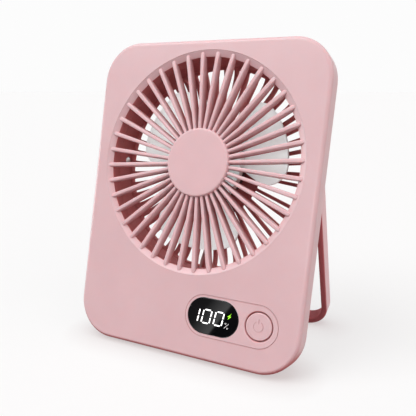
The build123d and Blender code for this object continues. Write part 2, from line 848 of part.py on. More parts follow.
# Battery lead: from the end of the cell to its plug, in a plane across the case
plug_rear_depth = board_rear_depth + connector_thick
cell_middle_depth = cell_rear_depth - cell_thick / 2
battery_lead_bend = (cell_middle_depth - plug_rear_depth) * battery_lead_bend_share
LEAD_LEVEL = Plane(
    FACE.from_local_coords((0, battery_lead_height, 0)), x_dir=FACE.x_dir, z_dir=-FACE.y_dir
)
with BuildPart() as battery_lead:
    with BuildLine(LEAD_LEVEL) as battery_lead_path:
        FilletPolyline(
            (cell_length - cell_left, -cell_middle_depth),
            (battery_plug_at[0], -cell_middle_depth),
            (battery_plug_at[0], -plug_rear_depth),
            radius=battery_lead_bend,
        )
    with BuildSketch(battery_lead_path.line ^ 0):
        Circle(battery_lead_radius)
    sweep(path=battery_lead_path.line)
battery_lead.part.label = "battery_lead"
export_step(battery_lead.part, "parts/battery_lead.step")

# Motor lead: along a rib of the rear grille, through the duct wall and down to its plug
lead_depth = rear_front_depth - motor_lead_radius - motor_lead_clear
lead_turn_radius = duct_radius - blade_tip_gap + lead_turn_gap
lead_rise_radius = duct_radius - lead_rise_gap
motor_lead_bend = (lead_wall_depth - plug_rear_depth) * motor_lead_bend_share
with BuildPart() as motor_lead:
    with BuildLine(side_plane(0, 0, 0)) as motor_lead_path:
        FilletPolyline(
            (fan_height - base_radius, -lead_depth),
            (fan_height - lead_turn_radius, -lead_depth),
            (fan_height - lead_rise_radius, -lead_wall_depth),
            (motor_plug_at[1], -lead_wall_depth),
            (motor_plug_at[1], -plug_rear_depth),
            radius=motor_lead_bend,
        )
    with BuildSketch(motor_lead_path.line ^ 0):
        Circle(motor_lead_radius)
    sweep(path=motor_lead_path.line)
motor_lead.part.label = "motor_lead"
export_step(motor_lead.part, "parts/motor_lead.step")

# Motor base: a flange on the rear grille with the bearing tube
with BuildPart() as motor_base:
    with BuildSketch(FAN_SECTION):
        add(
            section(
                (bush_radius, -rear_front_depth),
                (base_radius, -rear_front_depth),
                (base_radius, -base_front_depth),
                (tube_radius, -base_front_depth),
                (tube_radius, -tube_front_depth),
                (bush_radius, -tube_front_depth),
            )
        )
    revolve(axis=FAN_AXIS)
    with BuildSketch(FAN.offset(-base_front_depth)):
        with PolarLocations(motor_screw_circle, motor_screw_count, start_angle=90):
            Circle(motor_screw_radius)
    extrude(amount=-base_thick, mode=Mode.SUBTRACT)
motor_base.part.label = "motor_base"
export_step(motor_base.part, "parts/motor_base.step")

# Motor screws from the back of the rear grille
motor_screw_seat = rear_back_depth - motor_screw_head_thick
with BuildPart(FAN.offset(-motor_screw_seat)) as motor_screws:
    with PolarLocations(motor_screw_circle, motor_screw_count, start_angle=90):
        add(
            screw(
                motor_screw_radius,
                motor_screw_seat - base_front_depth,
                motor_screw_head_radius,
                motor_screw_head_thick,
            )
        )
motor_screws.part.label = "motor_screws"
export_step(motor_screws.part, "parts/motor_screws.step")

# Bearing bushes at both ends of the tube, the rear one just ahead of the shaft's clip
clip_front_depth = rear_front_depth - bush_rear_gap - clip_thick
bush_length = (rear_front_depth - tube_front_depth) * bush_share
with BuildPart() as bearing_bushes:
    for bush_front in (tube_front_depth, clip_front_depth - clip_gap - bush_length):
        with BuildSketch(FAN.offset(-bush_front)):
            Circle(bush_radius)
            Circle(shaft_radius + shaft_fit, mode=Mode.SUBTRACT)
        extrude(amount=-bush_length)
bearing_bushes.part.label = "bearing_bushes"
export_step(bearing_bushes.part, "parts/bearing_bushes.step")

# Motor board on the flange
with BuildPart() as motor_board:
    with BuildSketch(FAN.offset(-base_front_depth)):
        Circle(motor_board_radius)
        Circle(tube_radius, mode=Mode.SUBTRACT)
    extrude(amount=motor_board_thick)
motor_board.part.label = "motor_board"
export_step(motor_board.part, "parts/motor_board.step")

# Stator core: teeth with shoes round the bearing tube
stator_thick = base_front_depth - stator_front_depth - stator_rear_gap
stem_middle = (core_radius + stator_radius - shoe_thick) / 2
stem_length = stator_radius - core_radius
with BuildPart() as stator_core:
    with BuildSketch(FAN.offset(-stator_front_depth)):
        Circle(stator_radius)
        Circle(stator_radius - shoe_thick, mode=Mode.SUBTRACT)
        with PolarLocations(stator_radius, tooth_count, start_angle=180 / tooth_count):
            Rectangle(2 * shoe_thick + slot_mouth, slot_mouth, mode=Mode.SUBTRACT)
        with PolarLocations(stem_middle, tooth_count):
            Rectangle(stem_length, tooth_width)
        Circle(core_radius)
        Circle(tube_radius, mode=Mode.SUBTRACT)
    extrude(amount=-stator_thick)
stator_core.part.label = "stator_core"
export_step(stator_core.part, "parts/stator_core.step")

# Windings: one coil round each tooth
coil_start = core_radius + coil_start_gap
coil_length = stator_radius - shoe_thick - coil_end_gap - coil_start
with BuildPart() as coil:
    with BuildSketch(Plane.YZ.offset(coil_start)):
        RectangleRounded(tooth_width + 2 * coil_thick, stator_thick + 2 * coil_thick, coil_thick)
        Rectangle(tooth_width, stator_thick, mode=Mode.SUBTRACT)
    extrude(amount=coil_length)

with BuildPart(FAN.offset(-stator_front_depth - stator_thick / 2)) as stator_windings:
    with PolarLocations(0, tooth_count):
        add(coil.part)
stator_windings.part.label = "stator_windings"
export_step(stator_windings.part, "parts/stator_windings.step")

# Rotor can, its magnet ring and the shaft
can_rear_depth = rear_front_depth - can_rear_gap
shaft_rear_depth = rear_front_depth - shaft_rear_gap
with BuildPart() as rotor_can:
    with BuildSketch(FAN_SECTION):
        add(
            section(
                (shaft_radius, -can_front_depth),
                (can_radius, -can_front_depth),
                (can_radius, -can_rear_depth),
                (can_radius - can_skin, -can_rear_depth),
                (can_radius - can_skin, -can_front_depth - can_skin),
                (shaft_radius, -can_front_depth - can_skin),
            )
        )
    revolve(axis=FAN_AXIS)
rotor_can.part.label = "rotor_can"
export_step(rotor_can.part, "parts/rotor_can.step")

magnet_front_depth = can_front_depth + can_skin + magnet_front_gap
with BuildPart() as rotor_magnets:
    with BuildSketch(FAN.offset(-magnet_front_depth)):
        Circle(can_radius - can_skin)
        Circle(can_radius - can_skin - magnet_thick, mode=Mode.SUBTRACT)
    extrude(amount=magnet_front_depth + magnet_rear_gap - can_rear_depth)
rotor_magnets.part.label = "rotor_magnets"
export_step(rotor_magnets.part, "parts/rotor_magnets.step")

with BuildPart() as motor_shaft:
    with BuildSketch(FAN.offset(-shaft_front_depth)):
        Circle(shaft_radius)
    extrude(amount=shaft_front_depth - shaft_rear_depth)
motor_shaft.part.label = "motor_shaft"
export_step(motor_shaft.part, "parts/motor_shaft.step")

with BuildPart() as shaft_clip:
    with BuildSketch(FAN.offset(-clip_front_depth)):
        Circle(clip_radius)
        Circle(shaft_radius, mode=Mode.SUBTRACT)
    extrude(amount=-clip_thick)
shaft_clip.part.label = "shaft_clip"
export_step(shaft_clip.part, "parts/shaft_clip.step")

# One blade: a helical slab trimmed to a broad sickle outline
blade_radius = duct_radius - blade_tip_gap
blade_rear_depth = rear_front_depth - blade_rear_gap
blade_root = can_radius + blade_root_gap
blade_slope = (blade_rear_depth - blade_front_depth) / blade_sweep
slab_inner = blade_root - blade_overreach
slab_outer = blade_radius + blade_overreach
slab_angles = [blade_sweep * share for share in slab_shares]


def around(radius, angle):
    """A point at a radius and an angle from the blade's tip."""
    return (radius * cos(radians(angle)), radius * sin(radians(angle)))


with BuildPart() as blade:
    for angle in slab_angles:
        outward = (*around(1, angle), 0)
        with BuildSketch(Plane((0, 0, 0), x_dir=outward, z_dir=(outward[1], -outward[0], 0))):
            with Locations(((slab_inner + slab_outer) / 2, -blade_front_depth - blade_slope * angle)):
                Rectangle(slab_outer - slab_inner, blade_thick)
    loft()
    with BuildSketch(Plane.XY) as blade_plan:
        with BuildLine():
            blade_middle = (blade_root + blade_radius) / 2
            tip = around(blade_radius, 0)
            heel = around(blade_radius, blade_sweep)
            heel_root = around(blade_root, blade_sweep + blade_heel_angle)
            tip_root = around(blade_root, blade_root_angle)
            ThreePointArc(tip, around(blade_radius, blade_sweep / 2), heel)
            ThreePointArc(heel, around(blade_middle, blade_sweep + blade_heel_bow), heel_root)
            ThreePointArc(heel_root, around(blade_root, blade_sweep / 2), tip_root)
            ThreePointArc(tip_root, around(blade_middle, blade_root_bow), tip)
        make_face()
        fillet(blade_plan.vertices().sort_by_distance((0, 0, 0))[-2:], blade_corner)
    extrude(amount=-rear_front_depth, mode=Mode.INTERSECT)

# Impeller: a sleeve over the front of the can, a ring at its back and the blades between them
sleeve_outer = can_radius + sleeve_thick
sleeve_rear_depth = blade_rear_depth + blade_thick / 2
with BuildPart(FAN) as impeller:
    with BuildSketch(FAN_SECTION):
        add(
            section(
                (shaft_radius, -sleeve_front_depth + boss_rise),
                (boss_radius, -sleeve_front_depth + boss_rise),
                (boss_radius, -sleeve_front_depth),
                (sleeve_outer, -sleeve_front_depth),
                (sleeve_outer, -sleeve_front_depth - sleeve_length),
                (can_radius, -sleeve_front_depth - sleeve_length),
                (can_radius, -can_front_depth),
                (shaft_radius, -can_front_depth),
            ),
            section(
                (blade_root, -sleeve_rear_depth),
                (sleeve_outer, -sleeve_rear_depth),
                (sleeve_outer, sleeve_ring - sleeve_rear_depth),
                (blade_root, sleeve_ring - sleeve_rear_depth),
            ),
        )
    revolve(axis=FAN_AXIS)
    with PolarLocations(0, blade_count, start_angle=blade_tip_angle):
        add(blade.part)
impeller.part.label = "impeller"
export_step(impeller.part, "parts/impeller.step")
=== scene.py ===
"""Finishes, display figures and studio for a rechargeable desk fan, laid out as an add-on."""

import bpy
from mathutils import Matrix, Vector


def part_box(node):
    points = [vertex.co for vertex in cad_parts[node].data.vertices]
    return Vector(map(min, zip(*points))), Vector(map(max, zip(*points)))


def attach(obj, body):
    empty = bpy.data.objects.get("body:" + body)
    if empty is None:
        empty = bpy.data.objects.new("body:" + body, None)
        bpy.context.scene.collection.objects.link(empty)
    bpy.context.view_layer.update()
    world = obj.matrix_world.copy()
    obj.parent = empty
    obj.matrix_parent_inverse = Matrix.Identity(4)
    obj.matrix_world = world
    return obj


bl_info = {
    "name": "Desk fan finish",
    "version": (1, 0, 0),
    "blender": (4, 5, 0),
    "location": "View3D > Sidebar > Desk fan",
    "description": "Dresses the desk fan's solids, adds the lit display figures and sets up the studio",
    "category": "Object",
}

from math import cos, pi, radians, sin, sqrt

import bpy
from bpy.props import FloatProperty, FloatVectorProperty, PointerProperty
from mathutils import Matrix, Vector

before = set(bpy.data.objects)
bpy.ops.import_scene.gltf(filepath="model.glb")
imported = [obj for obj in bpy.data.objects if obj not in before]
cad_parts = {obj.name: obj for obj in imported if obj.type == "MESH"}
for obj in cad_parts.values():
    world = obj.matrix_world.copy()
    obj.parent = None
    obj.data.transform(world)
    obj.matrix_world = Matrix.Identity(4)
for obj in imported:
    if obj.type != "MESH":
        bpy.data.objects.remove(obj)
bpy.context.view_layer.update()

# Moulded grain: noise scales per metre, their detail and the fine noise's share of the mottling
FINE_GRAIN = 2500.0
BROAD_GRAIN = 60.0
FINE_DETAIL = 2.0
BROAD_DETAIL = 4.0
FINE_SHARE = 0.25
# Where the mottling is darkest and lightest, and the height of the grain in metres
MOTTLE_TONES = (0.35, 0.85)
GRAIN_HEIGHT = 0.00004

# How far a face turns towards a direction where its painted shade starts and where it is full
DUCT_FRONT_SHADE = (0.7, 0.3)
DUCT_WALL_SHADE = (-0.3, -0.8)
UNDERSIDE_SHADE = (0.05, 0.65)
STAND_INSIDE_SHADE = (0.15, 0.5)

# Light that soaks into a plastic: its share, the reach of each colour and the depth in metres
PINK_SOAK = (0.3, (1.0, 0.35, 0.3), 0.0012)
BLADE_SOAK = (0.7, (1.0, 0.97, 0.95), 0.003)

# Darker tone of the lens and of a lit bar, as a share of the lighter one
LENS_SHADE = 0.7
LIT_SHADE = 0.9

# Charging bolt from its upper tip round to the left, in metres on the lens
BOLT_OUTLINE = (
    (0.00088, 0.0015), (-0.00095, -0.00015), (-0.0001, -0.0002),
    (-0.00078, -0.0015), (0.00095, 0.0002), (0.0001, 0.0002),
)

# Brightness of the mirrored card across its width, dark up to the middle
CARD_FADE = ((0.495, 0.0), (0.505, 1.0), (0.7, 0.1), (0.95, 0.0))

# Studio: the white that the camera sees, the floor's side and roughness, and the camera's film
STUDIO_WHITE = 0.975
FLOOR_SIZE = 60.0
FLOOR_ROUGH = 0.9
FILM_WIDTH = 36.0
NEAR_CLIP = 0.01

# Bought-in and hidden pieces: finish, light and dark colour, roughness range, other settings, nodes
ROTOR_FINISHES = (
    ("can_paint", (0.075, 0.065, 0.065), (0.05, 0.043, 0.043), (0.35, 0.5),
     {"fine": 3000.0, "bump": 0.1}, ["rotor_can"]),
    ("ferrite", (0.05, 0.05, 0.055), (0.03, 0.03, 0.034), (0.55, 0.7),
     {}, ["rotor_magnets", "power_inductor"]),
    ("ground_steel", (0.55, 0.55, 0.56), (0.45, 0.45, 0.46), (0.2, 0.32),
     {"fine": 6000.0, "metallic": 1.0}, ["motor_shaft", "stator_core"]),
    ("clip_plastic", (0.62, 0.6, 0.58), (0.55, 0.53, 0.51), (0.4, 0.5),
     {}, ["shaft_clip", "hinge_washers"]),
)
INSIDE_FINISHES = (
    ("solder_mask", (0.025, 0.2, 0.08), (0.015, 0.14, 0.05), (0.25, 0.4),
     {"fine": 1200.0}, ["main_board", "motor_board"]),
    ("dark_plastic", (0.022, 0.022, 0.024), (0.014, 0.014, 0.016), (0.4, 0.55),
     {}, ["display_module", "switch_body", "socket_tongue", "driver_chip", "charge_chip"]),
    ("pale_plastic", (0.7, 0.69, 0.65), (0.62, 0.61, 0.57), (0.4, 0.5),
     {}, ["board_connectors", "motor_base", "switch_plunger"]),
    ("plated_steel", (0.62, 0.62, 0.61), (0.5, 0.5, 0.5), (0.22, 0.36),
     {"fine": 5000.0, "metallic": 1.0},
     ["socket_shell", "board_screws", "case_screws", "motor_screws", "hinge_pins"]),
    ("sintered_bronze", (0.5, 0.31, 0.14), (0.4, 0.24, 0.1), (0.4, 0.55),
     {"fine": 7000.0, "metallic": 1.0}, ["bearing_bushes"]),
    ("enamelled_wire", (0.62, 0.26, 0.1), (0.45, 0.17, 0.06), (0.25, 0.4),
     {"fine": 3500.0, "bump": 0.3, "metallic": 1.0}, ["stator_windings"]),
    ("cell_foil", (0.66, 0.67, 0.68), (0.56, 0.57, 0.58), (0.3, 0.42),
     {"fine": 1500.0, "metallic": 1.0}, ["battery_cell"]),
    ("foam", (0.06, 0.06, 0.06), (0.035, 0.035, 0.035), (0.8, 0.95),
     {"fine": 2200.0, "bump": 0.6}, ["battery_pad"]),
    ("lead_sleeve", (0.5, 0.3, 0.3), (0.44, 0.25, 0.25), (0.5, 0.6), {}, ["motor_lead"]),
    ("lead_cover", (0.035, 0.035, 0.035), (0.02, 0.02, 0.02), (0.4, 0.55), {}, ["battery_lead"]),
)


class FanFinish(bpy.types.PropertyGroup):
    """Places and colours of the moulded pieces."""

    fan_middle: FloatVectorProperty(
        name="Fan middle", description="Middle of the fan on the face",
        subtype="TRANSLATION", unit="LENGTH", default=(0.0, -0.011015, 0.090586),
    )
    lean: FloatProperty(
        name="Lean", description="How far the face leans back", subtype="ANGLE", default=radians(15.7)
    )
    case_pink: FloatVectorProperty(
        name="Case", description="Dusty pink of the case", subtype="COLOR", default=(0.66, 0.45, 0.472)
    )
    case_shade: FloatVectorProperty(
        name="Case shade", description="Deeper pink in the mottling",
        subtype="COLOR", default=(0.635, 0.426, 0.448),
    )
    grille_pink: FloatVectorProperty(
        name="Grille", description="Pink of the grilles and the rear shell",
        subtype="COLOR", default=(0.7, 0.475, 0.498),
    )
    grain_pitch: FloatProperty(
        name="Grain", description="Pitch of the moulded grain", unit="LENGTH", default=0.0004
    )
    duct_radius: FloatProperty(
        name="Duct", description="Radius inside the duct", unit="LENGTH", default=0.0508
    )
    ring_radius: FloatProperty(
        name="Ring", description="Radius outside the front grille's ring", unit="LENGTH", default=0.0535
    )
    # Painted shade inside the duct: the depths where it starts and where it is full
    duct_shade_start: FloatProperty(
        name="Duct start", description="Depth where the duct's deeper pink begins",
        unit="LENGTH", default=0.0,
    )
    duct_shade_end: FloatProperty(
        name="Duct end", description="Depth where the duct's deeper pink is full",
        unit="LENGTH", default=0.005,
    )
    duct_lip: FloatProperty(
        name="Duct lip", description="Depth where the duct's wall begins", unit="LENGTH", default=0.0014
    )
    # Colour of the painted shade inside the duct
    duct_painted_shade: FloatVectorProperty(
        name="Duct pink", description="Deeper pink inside the duct",
        subtype="COLOR", default=(0.48, 0.155, 0.155),
    )
    # Painted shade in the panel's grooves and the button's sunk symbol: depths where it starts and is
    # full, its reach and strength
    groove_shade_start: FloatProperty(
        name="Groove start", description="Depth where a groove turns deeper",
        unit="LENGTH", default=0.00002,
    )
    groove_shade_end: FloatProperty(
        name="Groove end", description="Depth where a groove's deeper pink is full",
        unit="LENGTH", default=0.00016,
    )
    symbol_shade_end: FloatProperty(
        name="Symbol end", description="The same depth on the button, whose symbol stays paler",
        unit="LENGTH", default=0.0005,
    )
    groove_shade_margin: FloatProperty(
        name="Groove margin", description="How far the grooves reach round the panel",
        unit="LENGTH", default=0.0005,
    )
    groove_shade_share: FloatProperty(
        name="Groove tint", description="How red the panel's grooves are",
        subtype="FACTOR", default=0.5, min=0.0, max=1.0,
    )
    # Colour of the painted shade in the grooves and on undersides
    groove_painted_shade: FloatVectorProperty(
        name="Groove", description="Deep pink in the panel's grooves and on undersides",
        subtype="COLOR", default=(0.45, 0.13, 0.13),
    )
    panel_radius: FloatProperty(
        name="Panel radius", description="Round end of the control panel", unit="LENGTH", default=0.0097
    )
    panel_flange: FloatProperty(
        name="Panel flange", description="Hidden rim of the control panel", unit="LENGTH", default=0.001
    )
    # A painted shade line round the panel: its half width and strength
    line_width: FloatProperty(
        name="Line width", description="Half of the red line round the panel",
        unit="LENGTH", default=0.0004,
    )
    line_shade_share: FloatProperty(
        name="Line tint", description="How red the line round the panel is",
        subtype="FACTOR", default=0.42, min=0.0, max=1.0,
    )
    stand_open: FloatProperty(
        name="Stand", description="How far the stand is open at rest",
        subtype="ANGLE", default=radians(34.5),
    )
    # Colour of the painted shade on the stand's inner faces
    stand_painted_shade: FloatVectorProperty(
        name="Stand inside", description="Deep pink of the stand's inner faces",
        subtype="COLOR", default=(0.46, 0.14, 0.15),
    )
    blade_grey: FloatVectorProperty(
        name="Blades", description="Pale grey of the impeller",
        subtype="COLOR", default=(0.95, 0.945, 0.935),
    )
    blade_shade: FloatVectorProperty(
        name="Blade shade", description="Flow marks in the impeller",
        subtype="COLOR", default=(0.87, 0.862, 0.855),
    )
    lens_black: FloatVectorProperty(
        name="Lens", description="Smoked display lens", subtype="COLOR", default=(0.004, 0.004, 0.005)
    )


class FanDisplay(bpy.types.PropertyGroup):
    """Sizes, places and colours of the lit marks on the lens."""

    glyph_width: FloatProperty(
        name="Width", description="Width of a figure", unit="LENGTH", default=0.0048
    )
    glyph_height: FloatProperty(
        name="Height", description="Height of a figure", unit="LENGTH", default=0.0069
    )
    glyph_pitch: FloatProperty(
        name="Pitch", description="From figure to figure", unit="LENGTH", default=0.0063
    )
    glyph_rise: FloatProperty(
        name="Rise", description="Middle of the figures above the lens's middle",
        unit="LENGTH", default=-0.0002,
    )
    stroke: FloatProperty(
        name="Stroke", description="Width of a lit bar", unit="LENGTH", default=0.00062
    )
    bar_gap: FloatProperty(
        name="Gap", description="Dark gap between bars", unit="LENGTH", default=0.00075
    )
    slant: FloatProperty(name="Slant", description="Sideways lean per unit of height", default=0.16)
    relief: FloatProperty(
        name="Relief", description="Thickness of a lit bar", unit="LENGTH", default=0.00012
    )
    proud: FloatProperty(
        name="Proud", description="How far it stands off the lens", unit="LENGTH", default=0.00003
    )
    light: FloatProperty(name="Light", description="Strength of the lit marks", default=1.0)
    figure_white: FloatVectorProperty(
        name="Figures", description="Light of the figures", subtype="COLOR", default=(1.0, 1.0, 1.0)
    )
    bolt_green: FloatVectorProperty(
        name="Bolt", description="Light of the charging bolt", subtype="COLOR", default=(0.3, 0.88, 0.02)
    )
    bolt_place: FloatVectorProperty(
        name="Bolt place", description="Middle of the charging bolt on the lens",
        size=2, unit="LENGTH", default=(0.0084, 0.0018),
    )
    mark_grey: FloatVectorProperty(
        name="Percent", description="Light of the percent mark", subtype="COLOR", default=(0.5, 0.5, 0.5)
    )
    percent_place: FloatVectorProperty(
        name="Percent place", description="Middle of the percent mark on the lens",
        size=2, unit="LENGTH", default=(0.0074, -0.0027),
    )
    slash_length: FloatProperty(
        name="Slash", description="Length of the percent mark's slash", unit="LENGTH", default=0.003
    )
    slash_width: FloatProperty(
        name="Slash width", description="Width of the percent mark's slash",
        unit="LENGTH", default=0.0002,
    )
    slash_turn: FloatProperty(
        name="Slash turn", description="Turn of the slash from upright",
        subtype="ANGLE", default=radians(-38.0),
    )
    ring_size: FloatProperty(
        name="Ring", description="Radius of the percent mark's rings", unit="LENGTH", default=0.0003
    )
    ring_stroke: FloatProperty(
        name="Ring stroke", description="Half the width of a ring's line", unit="LENGTH", default=0.0001
    )
    ring_place: FloatVectorProperty(
        name="Ring place", description="Middle of the lower ring from the mark's middle",
        size=2, unit="LENGTH", default=(0.0007, -0.00105),
    )


class FanStudio(bpy.types.PropertyGroup):
    """Camera, lamps, sky, floor and mirrored card."""

    camera_place: FloatVectorProperty(
        name="Camera", description="Where the camera stands",
        subtype="TRANSLATION", unit="LENGTH", default=(0.11695, -0.21547, 0.12343),
    )
    camera_pitch: FloatProperty(
        name="Pitch", description="Tilt up from straight down", subtype="ANGLE", default=radians(73.75)
    )
    camera_turn: FloatProperty(
        name="Turn", description="Turn about the upright", subtype="ANGLE", default=radians(25.46)
    )
    camera_lens: FloatProperty(
        name="Lens", description="Focal length", subtype="DISTANCE_CAMERA", default=43.065
    )
    camera_shift: FloatVectorProperty(
        name="Shift", description="Picture shift to frame the fan", size=2, default=(-0.0649, 0.0649)
    )
    sky_dim: FloatProperty(
        name="Sky, dim side", description="Sky light away from the key", default=0.08
    )
    sky_bright: FloatProperty(
        name="Sky, bright side", description="Sky light on the key's side", default=0.5
    )
    sky_side: FloatVectorProperty(
        name="Sky side", description="Towards the bright side",
        subtype="DIRECTION", default=(-0.5, -0.55, 0.67),
    )
    key_strength: FloatProperty(name="Key", description="Soft lamp from the upper left", default=2.38)
    key_side: FloatVectorProperty(
        name="Key side", description="Towards the key lamp",
        subtype="DIRECTION", default=(-0.42, -0.45, 0.79),
    )
    key_spread: FloatProperty(
        name="Key spread", description="Softness of the key", subtype="ANGLE", default=radians(45.0)
    )
    fill_strength: FloatProperty(name="Fill", description="Soft lamp from the right", default=2.06)
    fill_side: FloatVectorProperty(
        name="Fill side", description="Towards the fill lamp",
        subtype="DIRECTION", default=(0.9, -0.2, 0.3),
    )
    fill_spread: FloatProperty(
        name="Fill spread", description="Softness of the fill", subtype="ANGLE", default=radians(80.0)
    )
    fill_warmth: FloatVectorProperty(
        name="Fill warmth", description="Colour of the fill lamp",
        subtype="COLOR", default=(1.0, 0.88, 0.86),
    )
    blade_strength: FloatProperty(
        name="Blade lamp", description="Lamp that lights the impeller alone", default=1.8
    )
    blade_side: FloatVectorProperty(
        name="Blade side", description="Towards the blade lamp",
        subtype="DIRECTION", default=(-0.2, -0.93, 0.3),
    )
    blade_spread: FloatProperty(
        name="Blade spread", description="Softness of the blade lamp",
        subtype="ANGLE", default=radians(60.0),
    )
    blade_tone: FloatVectorProperty(
        name="Blade tone", description="Colour of the blade lamp",
        subtype="COLOR", default=(0.8, 1.0, 1.0),
    )
    back_strength: FloatProperty(
        name="Back lamp", description="Wide lamp from behind, for the back alone", default=2.7
    )
    back_side: FloatVectorProperty(
        name="Back side", description="Towards the back lamp",
        subtype="DIRECTION", default=(0.2, 0.95, 0.08),
    )
    back_spread: FloatProperty(
        name="Back spread", description="Softness of the back lamp",
        subtype="ANGLE", default=radians(90.0),
    )
    glint_strength: FloatProperty(
        name="Glints", description="Lamps that only show as gloss on edges", default=0.9
    )
    glint_front: FloatVectorProperty(
        name="Front glint", description="Towards the glint on right edges",
        subtype="DIRECTION", default=(0.0, -0.945, 0.295),
    )
    glint_left: FloatVectorProperty(
        name="Left glint", description="Towards the glint on left edges",
        subtype="DIRECTION", default=(-0.94, -0.31, 0.12),
    )
    glint_spread: FloatProperty(
        name="Glint spread", description="Softness of the glints", subtype="ANGLE", default=radians(10.0)
    )
    floor_white: FloatVectorProperty(
        name="Floor", description="Pale floor", subtype="COLOR", default=(0.79, 0.79, 0.79)
    )
    floor_lift: FloatProperty(
        name="Floor lift", description="Share of plain white in the floor as the camera sees it",
        subtype="FACTOR", default=0.72, min=0.0, max=1.0,
    )
    floor_bounce: FloatVectorProperty(
        name="Floor bounce", description="What the floor throws back on the fan",
        subtype="COLOR", default=(0.28, 0.2, 0.2),
    )
    contact_reach: FloatProperty(
        name="Contact", description="How far the contact shadow reaches", unit="LENGTH", default=0.017
    )
    contact_low: FloatProperty(
        name="Contact depth", description="Openness where the contact shadow is darkest",
        subtype="FACTOR", default=0.45, min=0.0, max=1.0,
    )
    contact_shade: FloatVectorProperty(
        name="Contact shade", description="Floor in the contact shadow",
        subtype="COLOR", default=(0.78, 0.72, 0.72),
    )
    card_distance: FloatProperty(
        name="Card distance", description="From the lens to the card that it mirrors",
        unit="LENGTH", default=0.5,
    )
    card_size: FloatProperty(
        name="Card size", description="Side of the card", unit="LENGTH", default=0.14
    )
    card_light: FloatProperty(
        name="Card light", description="Brightness of the card at its edge", default=1.5
    )
    card_top: FloatVectorProperty(
        name="Card top", description="Where the card's edge shows at the lens's top",
        size=2, unit="LENGTH", default=(0.0087, 0.0073),
    )
    card_low: FloatVectorProperty(
        name="Card low", description="Where the card's edge shows at the lens's bottom",
        size=2, unit="LENGTH", default=(-0.0017, -0.0089),
    )
    card_lit: FloatVectorProperty(
        name="Card lit", description="A place on the lens that mirrors the lit side",
        size=2, unit="LENGTH", default=(-0.009, 0.004),
    )


def deselect():
    """Leaves object mode with nothing selected."""
    if bpy.context.object and bpy.context.object.mode != "OBJECT":
        bpy.ops.object.mode_set(mode="OBJECT")
    bpy.ops.object.select_all(action="DESELECT")


def pick(piece):
    """Selects one object and makes it active."""
    deselect()
    piece.select_set(True)
    bpy.context.view_layer.objects.active = piece


def dress(material, *nodes):
    """Puts a material on every slot of the named CAD nodes."""
    for name in nodes:
        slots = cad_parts[name].material_slots
        if not slots:
            raise RuntimeError(f"{name} has no material slot")
        for place in slots:
            place.material = material


def face_up(finish):
    """The direction up along the leaning face."""
    return Vector((0.0, sin(finish.lean), cos(finish.lean)))


def face_back(finish):
    """The direction straight into the face."""
    return Vector((0.0, cos(finish.lean), -sin(finish.lean)))


def lens_plane():
    """The lens's front as a matrix: x to the right, y up the face, z out of it."""
    finish = bpy.context.scene.fan_finish
    right, up, out = Vector((1.0, 0.0, 0.0)), face_up(finish), -face_back(finish)
    corners = [vertex.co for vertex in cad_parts["display_lens"].data.vertices]
    middle = []
    for direction in (right, up):
        reach = [corner.dot(direction) for corner in corners]
        middle.append((min(reach) + max(reach)) / 2)
    front = max(corner.dot(out) for corner in corners)
    origin = right * middle[0] + up * middle[1] + out * front
    turn = Matrix((right, up, out)).transposed().to_4x4()
    return Matrix.Translation(origin) @ turn


# Shader steps and groups


def feed(tree, socket, source):
    """Links a socket to another one, or sets it to a plain value."""
    if isinstance(source, bpy.types.NodeSocket):
        tree.links.new(source, socket)
    else:
        socket.default_value = source


def vector_step(tree, operation, *sources, scale=None):
    """One vector node, fed by sockets or plain vectors."""
    node = tree.nodes.new("ShaderNodeVectorMath")
    node.operation = operation
    for socket, source in zip(node.inputs, sources):
        feed(tree, socket, source)
    if scale:
        tree.links.new(scale, node.inputs["Scale"])
    return node.outputs["Value" if operation in ("DOT_PRODUCT", "LENGTH") else "Vector"]


def value_step(tree, operation, *sources):
    """One plain arithmetic node, fed by sockets or plain numbers."""
    node = tree.nodes.new("ShaderNodeMath")
    node.operation = operation
    for socket, source in zip(node.inputs, sources):
        feed(tree, socket, source)
    return node.outputs[0]


def ramp_step(tree, value, low, high):
    """Nought at low, one at high, smooth between."""
    node = tree.nodes.new("ShaderNodeMapRange")
    node.interpolation_type = "SMOOTHSTEP"
    for name, source in (("Value", value), ("From Min", low), ("From Max", high)):
        feed(tree, node.inputs[name], source)
    return node.outputs["Result"]


def new_group(name, inputs, outputs):
    """An empty shader group with float inputs and outputs."""
    group = bpy.data.node_groups.new(name, "ShaderNodeTree")
    for label, default in inputs:
        socket = group.interface.new_socket(label, in_out="INPUT", socket_type="NodeSocketFloat")
        socket.default_value = default
    for label in outputs:
        group.interface.new_socket(label, in_out="OUTPUT", socket_type="NodeSocketFloat")
    start = group.nodes.new("NodeGroupInput")
    end = group.nodes.new("NodeGroupOutput")
    return group, start, end


def moulded_grain():
    """Fine moulded texture: mottling, a gloss mask and a height, all from the piece's own place."""
    if "moulded_grain" in bpy.data.node_groups:
        return bpy.data.node_groups["moulded_grain"]
    scales = [("Fine", FINE_GRAIN), ("Broad", BROAD_GRAIN)]
    group, start, end = new_group("moulded_grain", scales, ["Tone", "Gloss", "Height"])
    nodes, links = group.nodes, group.links
    place = nodes.new("ShaderNodeTexCoord").outputs["Object"]
    fine, broad = nodes.new("ShaderNodeTexNoise"), nodes.new("ShaderNodeTexNoise")
    speck = nodes.new("ShaderNodeTexVoronoi")
    for texture, scale in ((fine, "Fine"), (broad, "Broad"), (speck, "Fine")):
        links.new(place, texture.inputs["Vector"])
        links.new(start.outputs[scale], texture.inputs["Scale"])
    fine.inputs["Detail"].default_value = FINE_DETAIL
    broad.inputs["Detail"].default_value = BROAD_DETAIL
    tone = value_step(group, "MULTIPLY_ADD", fine.outputs["Fac"], FINE_SHARE, broad.outputs["Fac"])
    height = value_step(group, "ADD", fine.outputs["Fac"], speck.outputs["Distance"])
    for label, source in (("Tone", tone), ("Gloss", broad.outputs["Fac"]), ("Height", height)):
        links.new(source, end.inputs[label])
    return group


